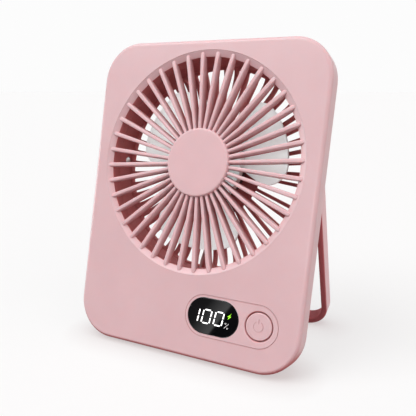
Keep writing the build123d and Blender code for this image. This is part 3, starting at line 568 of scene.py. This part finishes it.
def surface(
    name, light, dark, rough, fine=FINE_GRAIN, broad=BROAD_GRAIN, bump=0.12, metallic=0.0, specular=0.5
):
    """A Principled material whose colour, gloss and relief vary by the moulded grain."""
    material = bpy.data.materials.new(name)
    material.use_nodes = True
    nodes, links = material.node_tree.nodes, material.node_tree.links
    shader = nodes["Principled BSDF"]
    shader.inputs["Metallic"].default_value = metallic
    shader.inputs["Specular IOR Level"].default_value = specular
    grain = nodes.new("ShaderNodeGroup")
    grain.node_tree = moulded_grain()
    grain.inputs["Fine"].default_value = fine
    grain.inputs["Broad"].default_value = broad
    tint = nodes.new("ShaderNodeValToRGB")
    for stop, tone, colour in zip(tint.color_ramp.elements, MOTTLE_TONES, (dark, light)):
        stop.position = tone
        stop.color = (*colour, 1.0)
    links.new(grain.outputs["Tone"], tint.inputs["Fac"])
    links.new(tint.outputs["Color"], shader.inputs["Base Color"])
    gloss = nodes.new("ShaderNodeMapRange")
    gloss.inputs["To Min"].default_value = rough[0]
    gloss.inputs["To Max"].default_value = rough[1]
    links.new(grain.outputs["Gloss"], gloss.inputs["Value"])
    links.new(gloss.outputs["Result"], shader.inputs["Roughness"])
    relief = nodes.new("ShaderNodeBump")
    relief.inputs["Strength"].default_value = bump
    relief.inputs["Distance"].default_value = GRAIN_HEIGHT
    links.new(grain.outputs["Height"], relief.inputs["Height"])
    links.new(relief.outputs["Normal"], shader.inputs["Normal"])
    return material


def dress_all(finishes):
    """Makes every finish of a table and puts it on its CAD nodes."""
    for name, light, dark, rough, settings, nodes in finishes:
        dress(surface(name, light, dark, rough, **settings), *nodes)


def duct_shade_mask(finish):
    """How deep in the duct a place lies, as a mask for painted shade: nought at the face and outside,
    one deep inside and on the duct's wall.
    """
    limits = [
        ("Start", finish.duct_shade_start), ("End", finish.duct_shade_end),
        ("Radius", finish.duct_radius), ("Lip", finish.duct_lip),
    ]
    group, start, end = new_group("duct_shade_mask", limits, ["Mask"])
    limit = start.outputs
    back = face_back(finish)
    place = group.nodes.new("ShaderNodeTexCoord").outputs
    offset = vector_step(group, "SUBTRACT", place["Object"], finish.fan_middle)
    depth = vector_step(group, "DOT_PRODUCT", offset, back)
    along = vector_step(group, "SCALE", back, scale=depth)
    across = vector_step(group, "SUBTRACT", offset, along)
    outwards = vector_step(group, "NORMALIZE", across)
    outward = vector_step(group, "DOT_PRODUCT", place["Normal"], outwards)
    facing = vector_step(group, "DOT_PRODUCT", place["Normal"], back)
    reach = vector_step(group, "LENGTH", across)
    inside = value_step(group, "LESS_THAN", reach, limit["Radius"])
    deep = value_step(group, "MULTIPLY", ramp_step(group, depth, limit["Start"], limit["End"]), inside)
    deep = value_step(group, "MULTIPLY", deep, ramp_step(group, facing, *DUCT_FRONT_SHADE))
    wall = value_step(group, "MULTIPLY", ramp_step(group, outward, *DUCT_WALL_SHADE), inside)
    below = value_step(group, "GREATER_THAN", depth, limit["Lip"])
    wall = value_step(group, "MULTIPLY", wall, below)
    group.links.new(value_step(group, "MAXIMUM", deep, wall), end.inputs["Mask"])
    return group


def groove_shade_mask(finish):
    """Marks where shade is painted: in the panel's grooves, along a line round the panel and on
    undersides, nought elsewhere.
    """
    limits = [
        ("Start", finish.groove_shade_start), ("End", finish.groove_shade_end),
        ("Margin", finish.groove_shade_margin), ("Fill", finish.groove_shade_share),
        ("Radius", finish.panel_radius), ("Line", finish.line_width), ("Tint", finish.line_shade_share),
    ]
    group, start, end = new_group("groove_shade_mask", limits, ["Mask"])
    limit = start.outputs
    low, high = (Vector(corner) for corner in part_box("control_panel"))
    middle, half = (low + high) / 2, (high - low) / 2
    up = face_up(finish)
    place = group.nodes.new("ShaderNodeTexCoord").outputs
    offset = vector_step(group, "SUBTRACT", place["Object"], finish.fan_middle)
    depth = vector_step(group, "DOT_PRODUCT", offset, face_back(finish))
    groove = ramp_step(group, depth, limit["Start"], limit["End"])
    groove = value_step(group, "MULTIPLY", groove, limit["Fill"])
    centred = vector_step(group, "SUBTRACT", place["Object"], middle)
    away = group.nodes.new("ShaderNodeSeparateXYZ")
    group.links.new(vector_step(group, "ABSOLUTE", centred), away.inputs[0])
    for axis, extent in (("X", half.x), ("Z", half.z)):
        border = value_step(group, "ADD", limit["Margin"], extent)
        near = value_step(group, "LESS_THAN", away.outputs[axis], border)
        groove = value_step(group, "MULTIPLY", groove, near)

    # Distance from the panel's pill shaped outline, for a painted shade line along it
    straight = half.x - finish.panel_radius - finish.panel_flange
    past_straight = value_step(group, "SUBTRACT", away.outputs["X"], straight)
    run = value_step(group, "MAXIMUM", past_straight, 0.0)
    rise = vector_step(group, "DOT_PRODUCT", centred, up)
    squares = [value_step(group, "MULTIPLY", side, side) for side in (run, rise)]
    reach = value_step(group, "SQRT", value_step(group, "ADD", *squares))
    off = value_step(group, "ABSOLUTE", value_step(group, "SUBTRACT", reach, limit["Radius"]))
    line = value_step(group, "MULTIPLY", limit["Tint"], ramp_step(group, off, limit["Line"], 0.0))

    # Undersides get painted shade as well
    downward = vector_step(group, "DOT_PRODUCT", place["Normal"], -up)
    marked = value_step(group, "MAXIMUM", groove, line)
    marked = value_step(group, "MAXIMUM", marked, ramp_step(group, downward, *UNDERSIDE_SHADE))
    group.links.new(marked, end.inputs["Mask"])
    return group


def stand_shade_mask(finish):
    """Mask for painted shade: one on the stand's faces that look at the case or into its own opening,
    nought on the others.
    """
    limits = list(zip(("Low", "High"), STAND_INSIDE_SHADE))
    group, start, end = new_group("stand_shade_mask", limits, ["Mask"])
    open_lean = finish.lean - finish.stand_open
    front = Vector((0.0, -cos(open_lean), sin(open_lean)))
    low, high = (Vector(corner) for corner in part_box("stand"))
    place = group.nodes.new("ShaderNodeTexCoord").outputs
    inward = vector_step(group, "SUBTRACT", (low + high) / 2, place["Object"])
    ramps = []
    for direction in (front, vector_step(group, "NORMALIZE", inward)):
        facing = vector_step(group, "DOT_PRODUCT", place["Normal"], direction)
        ramps.append(ramp_step(group, facing, start.outputs["Low"], start.outputs["High"]))
    group.links.new(value_step(group, "MAXIMUM", *ramps), end.inputs["Mask"])
    return group


def paint_shade_into(material, mask, colour):
    """Paints shade into a material as deeper pink where a mask says so, makes it dull there, and returns
    the mask's node.
    """
    tree = material.node_tree
    nodes, links = tree.nodes, tree.links
    shader = nodes["Principled BSDF"]
    place = nodes.new("ShaderNodeGroup")
    place.node_tree = mask
    mix = nodes.new("ShaderNodeMix")
    mix.data_type = "RGBA"
    links.new(place.outputs["Mask"], mix.inputs["Factor"])
    links.new(nodes["Color Ramp"].outputs["Color"], mix.inputs["A"])
    mix.inputs["B"].default_value = (*colour, 1.0)
    links.new(mix.outputs["Result"], shader.inputs["Base Color"])
    gloss = nodes["Map Range"].outputs["Result"]
    links.new(value_step(tree, "MAXIMUM", place.outputs["Mask"], gloss), shader.inputs["Roughness"])
    return place


def milky(material, weight, radius, reach):
    """Lets light soak a little way into a moulded plastic."""
    shader = material.node_tree.nodes["Principled BSDF"]
    shader.inputs["Subsurface Weight"].default_value = weight
    shader.inputs["Subsurface Radius"].default_value = radius
    shader.inputs["Subsurface Scale"].default_value = reach


def glow(name, colour, strength):
    """A lit display bar: an even glow with a slight unevenness along its length."""
    shade = [value * LIT_SHADE for value in colour]
    material = surface(name, colour, shade, rough=(0.3, 0.4), fine=900.0, broad=400.0, bump=0.0)
    nodes, links = material.node_tree.nodes, material.node_tree.links
    shader = nodes["Principled BSDF"]
    links.new(nodes["Color Ramp"].outputs["Color"], shader.inputs["Emission Color"])
    shader.inputs["Emission Strength"].default_value = strength
    return material


# Display pieces


def lit_bar(length, stroke, relief, middle, turn):
    """One pointed bar of a figure, lying flat, made from a six sided prism."""
    radius = stroke / sqrt(3.0)
    deselect()
    bpy.ops.mesh.primitive_cylinder_add(vertices=6, radius=radius, depth=relief, end_fill_type="NGON")
    bar = bpy.context.object
    half = length / 2 - radius
    for side in (1.0, -1.0):
        bpy.ops.object.mode_set(mode="EDIT")
        bpy.ops.mesh.select_all(action="DESELECT")
        bpy.ops.object.mode_set(mode="OBJECT")
        for vertex in bar.data.vertices:
            vertex.select = vertex.co.y * side > 0.0
        bpy.ops.object.mode_set(mode="EDIT")
        bpy.ops.transform.translate(value=(0.0, side * half, 0.0))
        bpy.ops.object.mode_set(mode="OBJECT")
    bar.data.transform(Matrix.Translation((*middle, 0.0)) @ Matrix.Rotation(turn, 4, "Z"))
    return bar


def joined(name, parts):
    """Joins loose bars into one named piece."""
    deselect()
    for part in parts:
        part.select_set(True)
    bpy.context.view_layer.objects.active = parts[0]
    bpy.ops.object.join()
    piece = bpy.context.object
    piece.name = name
    piece.data.name = name
    return piece


def set_on_lens(piece, display, middle, slant, material):
    """Leans a flat piece, lays it on the lens and lets it ride on the body."""
    lean = Matrix.Identity(4)
    lean[0][1] = slant
    lift = display.proud - display.relief / 2
    piece.data.transform(lens_plane() @ Matrix.Translation((*middle, lift)) @ lean)
    piece.data.materials.clear()
    piece.data.materials.append(material)
    pick(piece)
    bpy.ops.object.shade_flat()
    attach(piece, "body")


# Studio


def seen_directly(tree):
    """One where the camera, a reflection or a clear piece looks at something, nought elsewhere."""
    path = tree.nodes.new("ShaderNodeLightPath").outputs
    either = value_step(tree, "MAXIMUM", path["Is Camera Ray"], path["Is Glossy Ray"])
    return value_step(tree, "MAXIMUM", either, path["Is Transmission Ray"])


def mixed(tree, share, first, second):
    """Two shaders mixed by a share of the second."""
    mix = tree.nodes.new("ShaderNodeMixShader")
    for socket, source in zip(mix.inputs, (share, first.outputs[0], second.outputs[0])):
        feed(tree, socket, source)
    return mix


def floor_paint(studio):
    """Pale floor that keeps the shadow and is nearly white where the camera looks at it."""
    paint = bpy.data.materials.new("floor_paint")
    paint.use_nodes = True
    tree = paint.node_tree
    nodes, links = tree.nodes, tree.links
    shader = nodes["Principled BSDF"]
    shader.inputs["Base Color"].default_value = (*studio.floor_white, 1.0)
    shader.inputs["Roughness"].default_value = FLOOR_ROUGH
    shader.inputs["Specular IOR Level"].default_value = 0.0
    near = nodes.new("ShaderNodeAmbientOcclusion")
    near.inputs["Distance"].default_value = studio.contact_reach
    contact = nodes.new("ShaderNodeValToRGB")
    ends = contact.color_ramp.elements
    ends[0].position, ends[0].color = studio.contact_low, (*studio.contact_shade, 1.0)
    ends[1].position, ends[1].color = 1.0, (1.0, 1.0, 1.0, 1.0)
    links.new(near.outputs["AO"], contact.inputs["Fac"])
    white = nodes.new("ShaderNodeEmission")
    links.new(contact.outputs["Color"], white.inputs["Color"])
    white.inputs["Strength"].default_value = STUDIO_WHITE
    lifted = mixed(tree, studio.floor_lift, shader, white)
    bounce = nodes.new("ShaderNodeBsdfDiffuse")
    bounce.inputs["Color"].default_value = (*studio.floor_bounce, 1.0)
    mix = mixed(tree, seen_directly(tree), bounce, lifted)
    links.new(mix.outputs[0], nodes["Material Output"].inputs["Surface"])
    return paint


def studio_sky(studio):
    """A sky that is brighter on the key's side, and plain white where it is looked at."""
    world = bpy.data.worlds.new("studio_sky")
    world.use_nodes = True
    tree = world.node_tree
    nodes, links = tree.nodes, tree.links
    even, white = nodes["Background"], nodes.new("ShaderNodeBackground")
    for light in (even, white):
        light.inputs["Color"].default_value = (1.0, 1.0, 1.0, 1.0)
    white.inputs["Strength"].default_value = STUDIO_WHITE
    view = nodes.new("ShaderNodeTexCoord").outputs["Generated"]
    facing = vector_step(tree, "DOT_PRODUCT", view, Vector(studio.sky_side).normalized())
    level = nodes.new("ShaderNodeMapRange")
    level.inputs["From Min"].default_value = -1.0
    level.inputs["To Min"].default_value = studio.sky_dim
    level.inputs["To Max"].default_value = studio.sky_bright
    links.new(facing, level.inputs["Value"])
    links.new(level.outputs["Result"], even.inputs["Strength"])
    mix = mixed(tree, seen_directly(tree), even, white)
    links.new(mix.outputs[0], nodes["World Output"].inputs["Surface"])
    return world


def card_paint(studio):
    """Light of the mirrored card, bright at its middle line and fading to one side."""
    paint = bpy.data.materials.new("card_light")
    paint.use_nodes = True
    nodes, links = paint.node_tree.nodes, paint.node_tree.links
    place = nodes.new("ShaderNodeTexCoord")
    parts = nodes.new("ShaderNodeSeparateXYZ")
    links.new(place.outputs["Object"], parts.inputs[0])
    along = nodes.new("ShaderNodeMapRange")
    along.inputs["From Min"].default_value = -studio.card_size / 2
    along.inputs["From Max"].default_value = studio.card_size / 2
    links.new(parts.outputs["X"], along.inputs["Value"])
    fade = nodes.new("ShaderNodeValToRGB")
    stops = fade.color_ramp.elements
    ends, further = CARD_FADE[:2], CARD_FADE[2:]
    for stop, (position, level) in zip(stops, ends):
        stop.position, stop.color = position, (level, level, level, 1.0)
    for position, level in further:
        stops.new(position).color = (level, level, level, 1.0)
    links.new(along.outputs["Result"], fade.inputs["Fac"])
    light = nodes.new("ShaderNodeEmission")
    light.inputs["Strength"].default_value = studio.card_light
    links.new(fade.outputs["Color"], light.inputs["Color"])
    links.new(light.outputs[0], nodes["Material Output"].inputs["Surface"])
    return paint


def mirror_card(studio):
    """A small lit card, seen only in reflections, whose dark edge runs across the lens."""
    lens = lens_plane()
    eye = lens.inverted() @ Vector(studio.camera_place)
    behind = lens @ Vector((eye.x, eye.y, -eye.z))

    def thrown(place):
        """Where a place on the lens sends the camera's ray, at the card's distance."""
        spot = lens @ Vector((*place, 0.0))
        return spot + (spot - behind).normalized() * studio.card_distance

    top, low, lit = (thrown(place) for place in (studio.card_top, studio.card_low, studio.card_lit))
    edge = (top - low).normalized()
    inward = lit - low
    inward = (inward - edge * inward.dot(edge)).normalized()
    turn = Matrix((inward, edge, inward.cross(edge))).transposed().to_4x4()
    deselect()
    bpy.ops.mesh.primitive_plane_add(size=studio.card_size)
    card = bpy.context.object
    card.name = "mirror_card"
    card.matrix_world = Matrix.Translation((top + low) / 2) @ turn
    for ray in ("camera", "diffuse", "transmission", "volume_scatter", "shadow"):
        setattr(card, f"visible_{ray}", False)
    card.data.materials.append(card_paint(studio))


def lamp(name, side, strength, spread):
    """A wide soft sun from one side."""
    turn = Vector(side).to_track_quat("Z", "Y").to_euler()
    bpy.ops.object.light_add(type="SUN", rotation=turn)
    light = bpy.context.object
    light.name = name
    light.data.energy = strength
    light.data.angle = spread
    return light


def lit_alone(light, *nodes):
    """Lets a lamp light only the named CAD nodes, and returns their collection."""
    lit = bpy.data.collections.new(f"{light.name}_lit")
    for name in nodes:
        lit.objects.link(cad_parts[name])
    light.light_linking.receiver_collection = lit
    return lit


# Operators


class FAN_OT_case_finish(bpy.types.Operator):
    """Dress the case, the grilles, the stand, the panel and the button in pink, with shade painted in
    the grooves, on undersides, on the stand's inner faces and in the duct
    """

    bl_idname = "fan.case_finish"
    bl_label = "Case finish"

    def execute(self, context):
        finish = context.scene.fan_finish
        fine = 1.0 / finish.grain_pitch
        pinks = (finish.case_pink, finish.case_shade)
        case = surface("case_plastic", *pinks, rough=(0.3, 0.4), fine=fine)
        stand = surface("stand_plastic", *pinks, rough=(0.36, 0.46), fine=fine, specular=0.2)
        panel = surface("panel_plastic", *pinks, rough=(0.38, 0.48), fine=fine, bump=0.08)
        button = surface("button_plastic", *pinks, rough=(0.36, 0.46), fine=fine, bump=0.08)
        pinks = (finish.grille_pink, finish.case_pink)
        grille, duct = (
            surface(name, *pinks, rough=(0.34, 0.44), fine=fine, specular=0.35)
            for name in ("grille_plastic", "duct_plastic")
        )
        # Painted shade in the grooves, on undersides and in the button's sunk symbol
        groove = groove_shade_mask(finish)
        for plastic in (case, panel):
            paint_shade_into(plastic, groove, finish.groove_painted_shade)
        sunk = paint_shade_into(button, groove, finish.groove_painted_shade)
        sunk.inputs["End"].default_value = finish.symbol_shade_end
        # Painted shade on the stand's inner faces
        paint_shade_into(stand, stand_shade_mask(finish), finish.stand_painted_shade)
        # Painted shade: deeper pink deep in the duct, on its wall and on the grille's ribs inside the
        # ring
        depth = duct_shade_mask(finish)
        paint_shade_into(duct, depth, finish.duct_painted_shade)
        ringed = paint_shade_into(grille, depth, finish.duct_painted_shade)
        ringed.inputs["Radius"].default_value = finish.ring_radius
        for plastic in (case, stand, panel, button, grille, duct):
            milky(plastic, *PINK_SOAK)
        dress(case, "front_shell")
        dress(stand, "stand")
        dress(grille, "front_grille")
        dress(duct, "rear_shell", "rear_grille")
        dress(panel, "control_panel")
        dress(button, "power_button")
        return {"FINISHED"}


class FAN_OT_rotor_finish(bpy.types.Operator):
    """Dress the impeller in pale grey and the motor's can in dark paint"""

    bl_idname = "fan.rotor_finish"
    bl_label = "Rotor finish"

    def execute(self, context):
        finish = context.scene.fan_finish
        greys = (finish.blade_grey, finish.blade_shade)
        blades = surface("blade_plastic", *greys, rough=(0.3, 0.45), fine=700.0, broad=45.0, bump=0.05)
        milky(blades, *BLADE_SOAK)
        dress(blades, "impeller")
        dress_all(ROTOR_FINISHES)
        return {"FINISHED"}


class FAN_OT_inside_finish(bpy.types.Operator):
    """Dress the board, the battery, the leads, the fasteners and the motor's fixed pieces"""

    bl_idname = "fan.inside_finish"
    bl_label = "Inside finish"

    def execute(self, context):
        dress_all(INSIDE_FINISHES)
        return {"FINISHED"}


class FAN_OT_lens_finish(bpy.types.Operator):
    """Dress the display lens as polished smoked plastic"""

    bl_idname = "fan.lens_finish"
    bl_label = "Lens finish"

    def execute(self, context):
        black = context.scene.fan_finish.lens_black
        shade = [value * LENS_SHADE for value in black]
        lens = surface("smoked_lens", black, shade, rough=(0.02, 0.05), fine=300.0, bump=0.0)
        dress(lens, "display_lens")
        return {"FINISHED"}


class FAN_OT_figures(bpy.types.Operator):
    """Add the lit figures one, nought, nought on the lens"""

    bl_idname = "fan.figures"
    bl_label = "Display figures"

    def execute(self, context):
        display = context.scene.fan_display
        white = glow("figure_light", display.figure_white, display.light)
        side = (display.glyph_width - display.stroke) / 2
        top = (display.glyph_height - display.stroke) / 2
        upright = display.glyph_height / 2 - display.bar_gap
        across = display.glyph_width - 2 * display.bar_gap - display.stroke / 2
        right_bars = [((side, top / 2), upright, 0.0), ((side, -top / 2), upright, 0.0)]
        left_bars = [((-side, top / 2), upright, 0.0), ((-side, -top / 2), upright, 0.0)]
        flat_bars = [((0.0, top), across, pi / 2), ((0.0, -top), across, pi / 2)]
        nought = right_bars + left_bars + flat_bars
        # Name, bars and place in pitches from the lens's middle
        figures = [
            ("figure_one", right_bars, -1.5),
            ("figure_nought_left", nought, -0.5),
            ("figure_nought_right", nought, 0.5),
        ]
        for name, bars, step in figures:
            parts = [
                lit_bar(length, display.stroke, display.relief, middle, turn)
                for middle, length, turn in bars
            ]
            piece = joined(name, parts)
            place = (step * display.glyph_pitch, display.glyph_rise)
            set_on_lens(piece, display, place, display.slant, white)
        return {"FINISHED"}


class FAN_OT_bolt(bpy.types.Operator):
    """Add the green charging bolt on the lens"""

    bl_idname = "fan.bolt"
    bl_label = "Charging bolt"

    def execute(self, context):
        display = context.scene.fan_display
        green = glow("bolt_light", display.bolt_green, display.light)
        deselect()
        bpy.ops.mesh.primitive_circle_add(
            vertices=len(BOLT_OUTLINE), radius=display.stroke, fill_type="NGON"
        )
        piece = bpy.context.object
        for vertex, place in zip(piece.data.vertices, BOLT_OUTLINE):
            vertex.co = (*place, -display.relief / 2)
        bpy.ops.object.mode_set(mode="EDIT")
        bpy.ops.mesh.select_all(action="SELECT")
        thicken = {"value": (0.0, 0.0, display.relief)}
        bpy.ops.mesh.extrude_region_move(TRANSFORM_OT_translate=thicken)
        bpy.ops.mesh.select_all(action="SELECT")
        bpy.ops.mesh.normals_make_consistent(inside=False)
        bpy.ops.object.mode_set(mode="OBJECT")
        piece.name = "charging_bolt"
        piece.data.name = "charging_bolt"
        set_on_lens(piece, display, display.bolt_place, 0.0, green)
        return {"FINISHED"}


class FAN_OT_percent(bpy.types.Operator):
    """Add the grey percent mark on the lens"""

    bl_idname = "fan.percent"
    bl_label = "Percent mark"

    def execute(self, context):
        display = context.scene.fan_display
        grey = glow("percent_light", display.mark_grey, display.light)
        parts = [
            lit_bar(
                display.slash_length, display.slash_width, display.relief, (0.0, 0.0), display.slash_turn
            )
        ]
        x, y = display.ring_place
        for side in (-1.0, 1.0):
            deselect()
            bpy.ops.mesh.primitive_torus_add(
                major_segments=28, minor_segments=8,
                major_radius=display.ring_size, minor_radius=display.ring_stroke,
                location=(side * x, side * y, 0.0),
            )
            ring = bpy.context.object
            ring.scale = (1.0, 1.0, display.relief / (2 * display.ring_stroke))
            bpy.ops.object.transform_apply(location=True, rotation=True, scale=True)
            parts.append(ring)
        piece = joined("percent_mark", parts)
        set_on_lens(piece, display, display.percent_place, display.slant, grey)
        return {"FINISHED"}


class FAN_OT_stage(bpy.types.Operator):
    """Set up the floor, the lamps, the sky and the camera"""

    bl_idname = "fan.stage"
    bl_label = "Studio"

    def execute(self, context):
        studio = context.scene.fan_studio
        scene = context.scene
        deselect()
        bpy.ops.mesh.primitive_plane_add(size=FLOOR_SIZE, location=(0.0, 0.0, 0.0))
        floor = context.object
        floor.name = "floor"
        floor.data.materials.append(floor_paint(studio))
        scene.world = studio_sky(studio)
        mirror_card(studio)

        lamp("key_lamp", studio.key_side, studio.key_strength, studio.key_spread)
        fill = lamp("fill_lamp", studio.fill_side, studio.fill_strength, studio.fill_spread)
        fill.data.color = studio.fill_warmth
        back = lamp("back_lamp", studio.back_side, studio.back_strength, studio.back_spread)
        lit_alone(
            back, "rear_shell", "rear_grille", "stand", "hinge_pins", "case_screws", "motor_screws"
        )
        blade = lamp("blade_lamp", studio.blade_side, studio.blade_strength, studio.blade_spread)
        blade.data.color = studio.blade_tone
        blade.light_linking.blocker_collection = lit_alone(blade, "impeller")
        for name in ("glint_front", "glint_left"):
            glint = lamp(name, getattr(studio, name), studio.glint_strength, studio.glint_spread)
            glint.visible_diffuse = False

        bpy.ops.object.camera_add(
            location=studio.camera_place, rotation=(studio.camera_pitch, 0.0, studio.camera_turn)
        )
        camera = context.object
        camera.data.sensor_width = FILM_WIDTH
        camera.data.lens = studio.camera_lens
        camera.data.shift_x, camera.data.shift_y = studio.camera_shift
        camera.data.clip_start = NEAR_CLIP
        scene.camera = camera
        scene.view_settings.view_transform = "Standard"
        return {"FINISHED"}


class FAN_PT_panel(bpy.types.Panel):
    """Lists the fan's steps and settings"""

    bl_label = "Desk fan"
    bl_idname = "FAN_PT_panel"
    bl_space_type = "VIEW_3D"
    bl_region_type = "UI"
    bl_category = "Desk fan"

    def draw(self, context):
        layout = self.layout
        for operator in OPERATORS:
            layout.operator(operator.bl_idname)
        for name in GROUPS:
            settings = getattr(context.scene, name)
            box = layout.box()
            for setting in settings.__annotations__:
                box.prop(settings, setting)


OPERATORS = (
    FAN_OT_case_finish,
    FAN_OT_rotor_finish,
    FAN_OT_inside_finish,
    FAN_OT_lens_finish,
    FAN_OT_figures,
    FAN_OT_bolt,
    FAN_OT_percent,
    FAN_OT_stage,
)
GROUPS = {"fan_finish": FanFinish, "fan_display": FanDisplay, "fan_studio": FanStudio}
CLASSES = (*GROUPS.values(), *OPERATORS, FAN_PT_panel)


def register():
    """Registers the classes and hangs the settings on the scene."""
    for item in CLASSES:
        bpy.utils.register_class(item)
    for name, group in GROUPS.items():
        setattr(bpy.types.Scene, name, PointerProperty(type=group))


def unregister():
    """Takes the settings and the classes away again."""
    for name in GROUPS:
        delattr(bpy.types.Scene, name)
    for item in reversed(CLASSES):
        bpy.utils.unregister_class(item)


def main():
    """Runs every step in order."""
    register()
    bpy.ops.fan.case_finish()
    bpy.ops.fan.rotor_finish()
    bpy.ops.fan.inside_finish()
    bpy.ops.fan.lens_finish()
    bpy.ops.fan.figures()
    bpy.ops.fan.bolt()
    bpy.ops.fan.percent()
    bpy.ops.fan.stage()


if __name__ == "__main__":
    main()
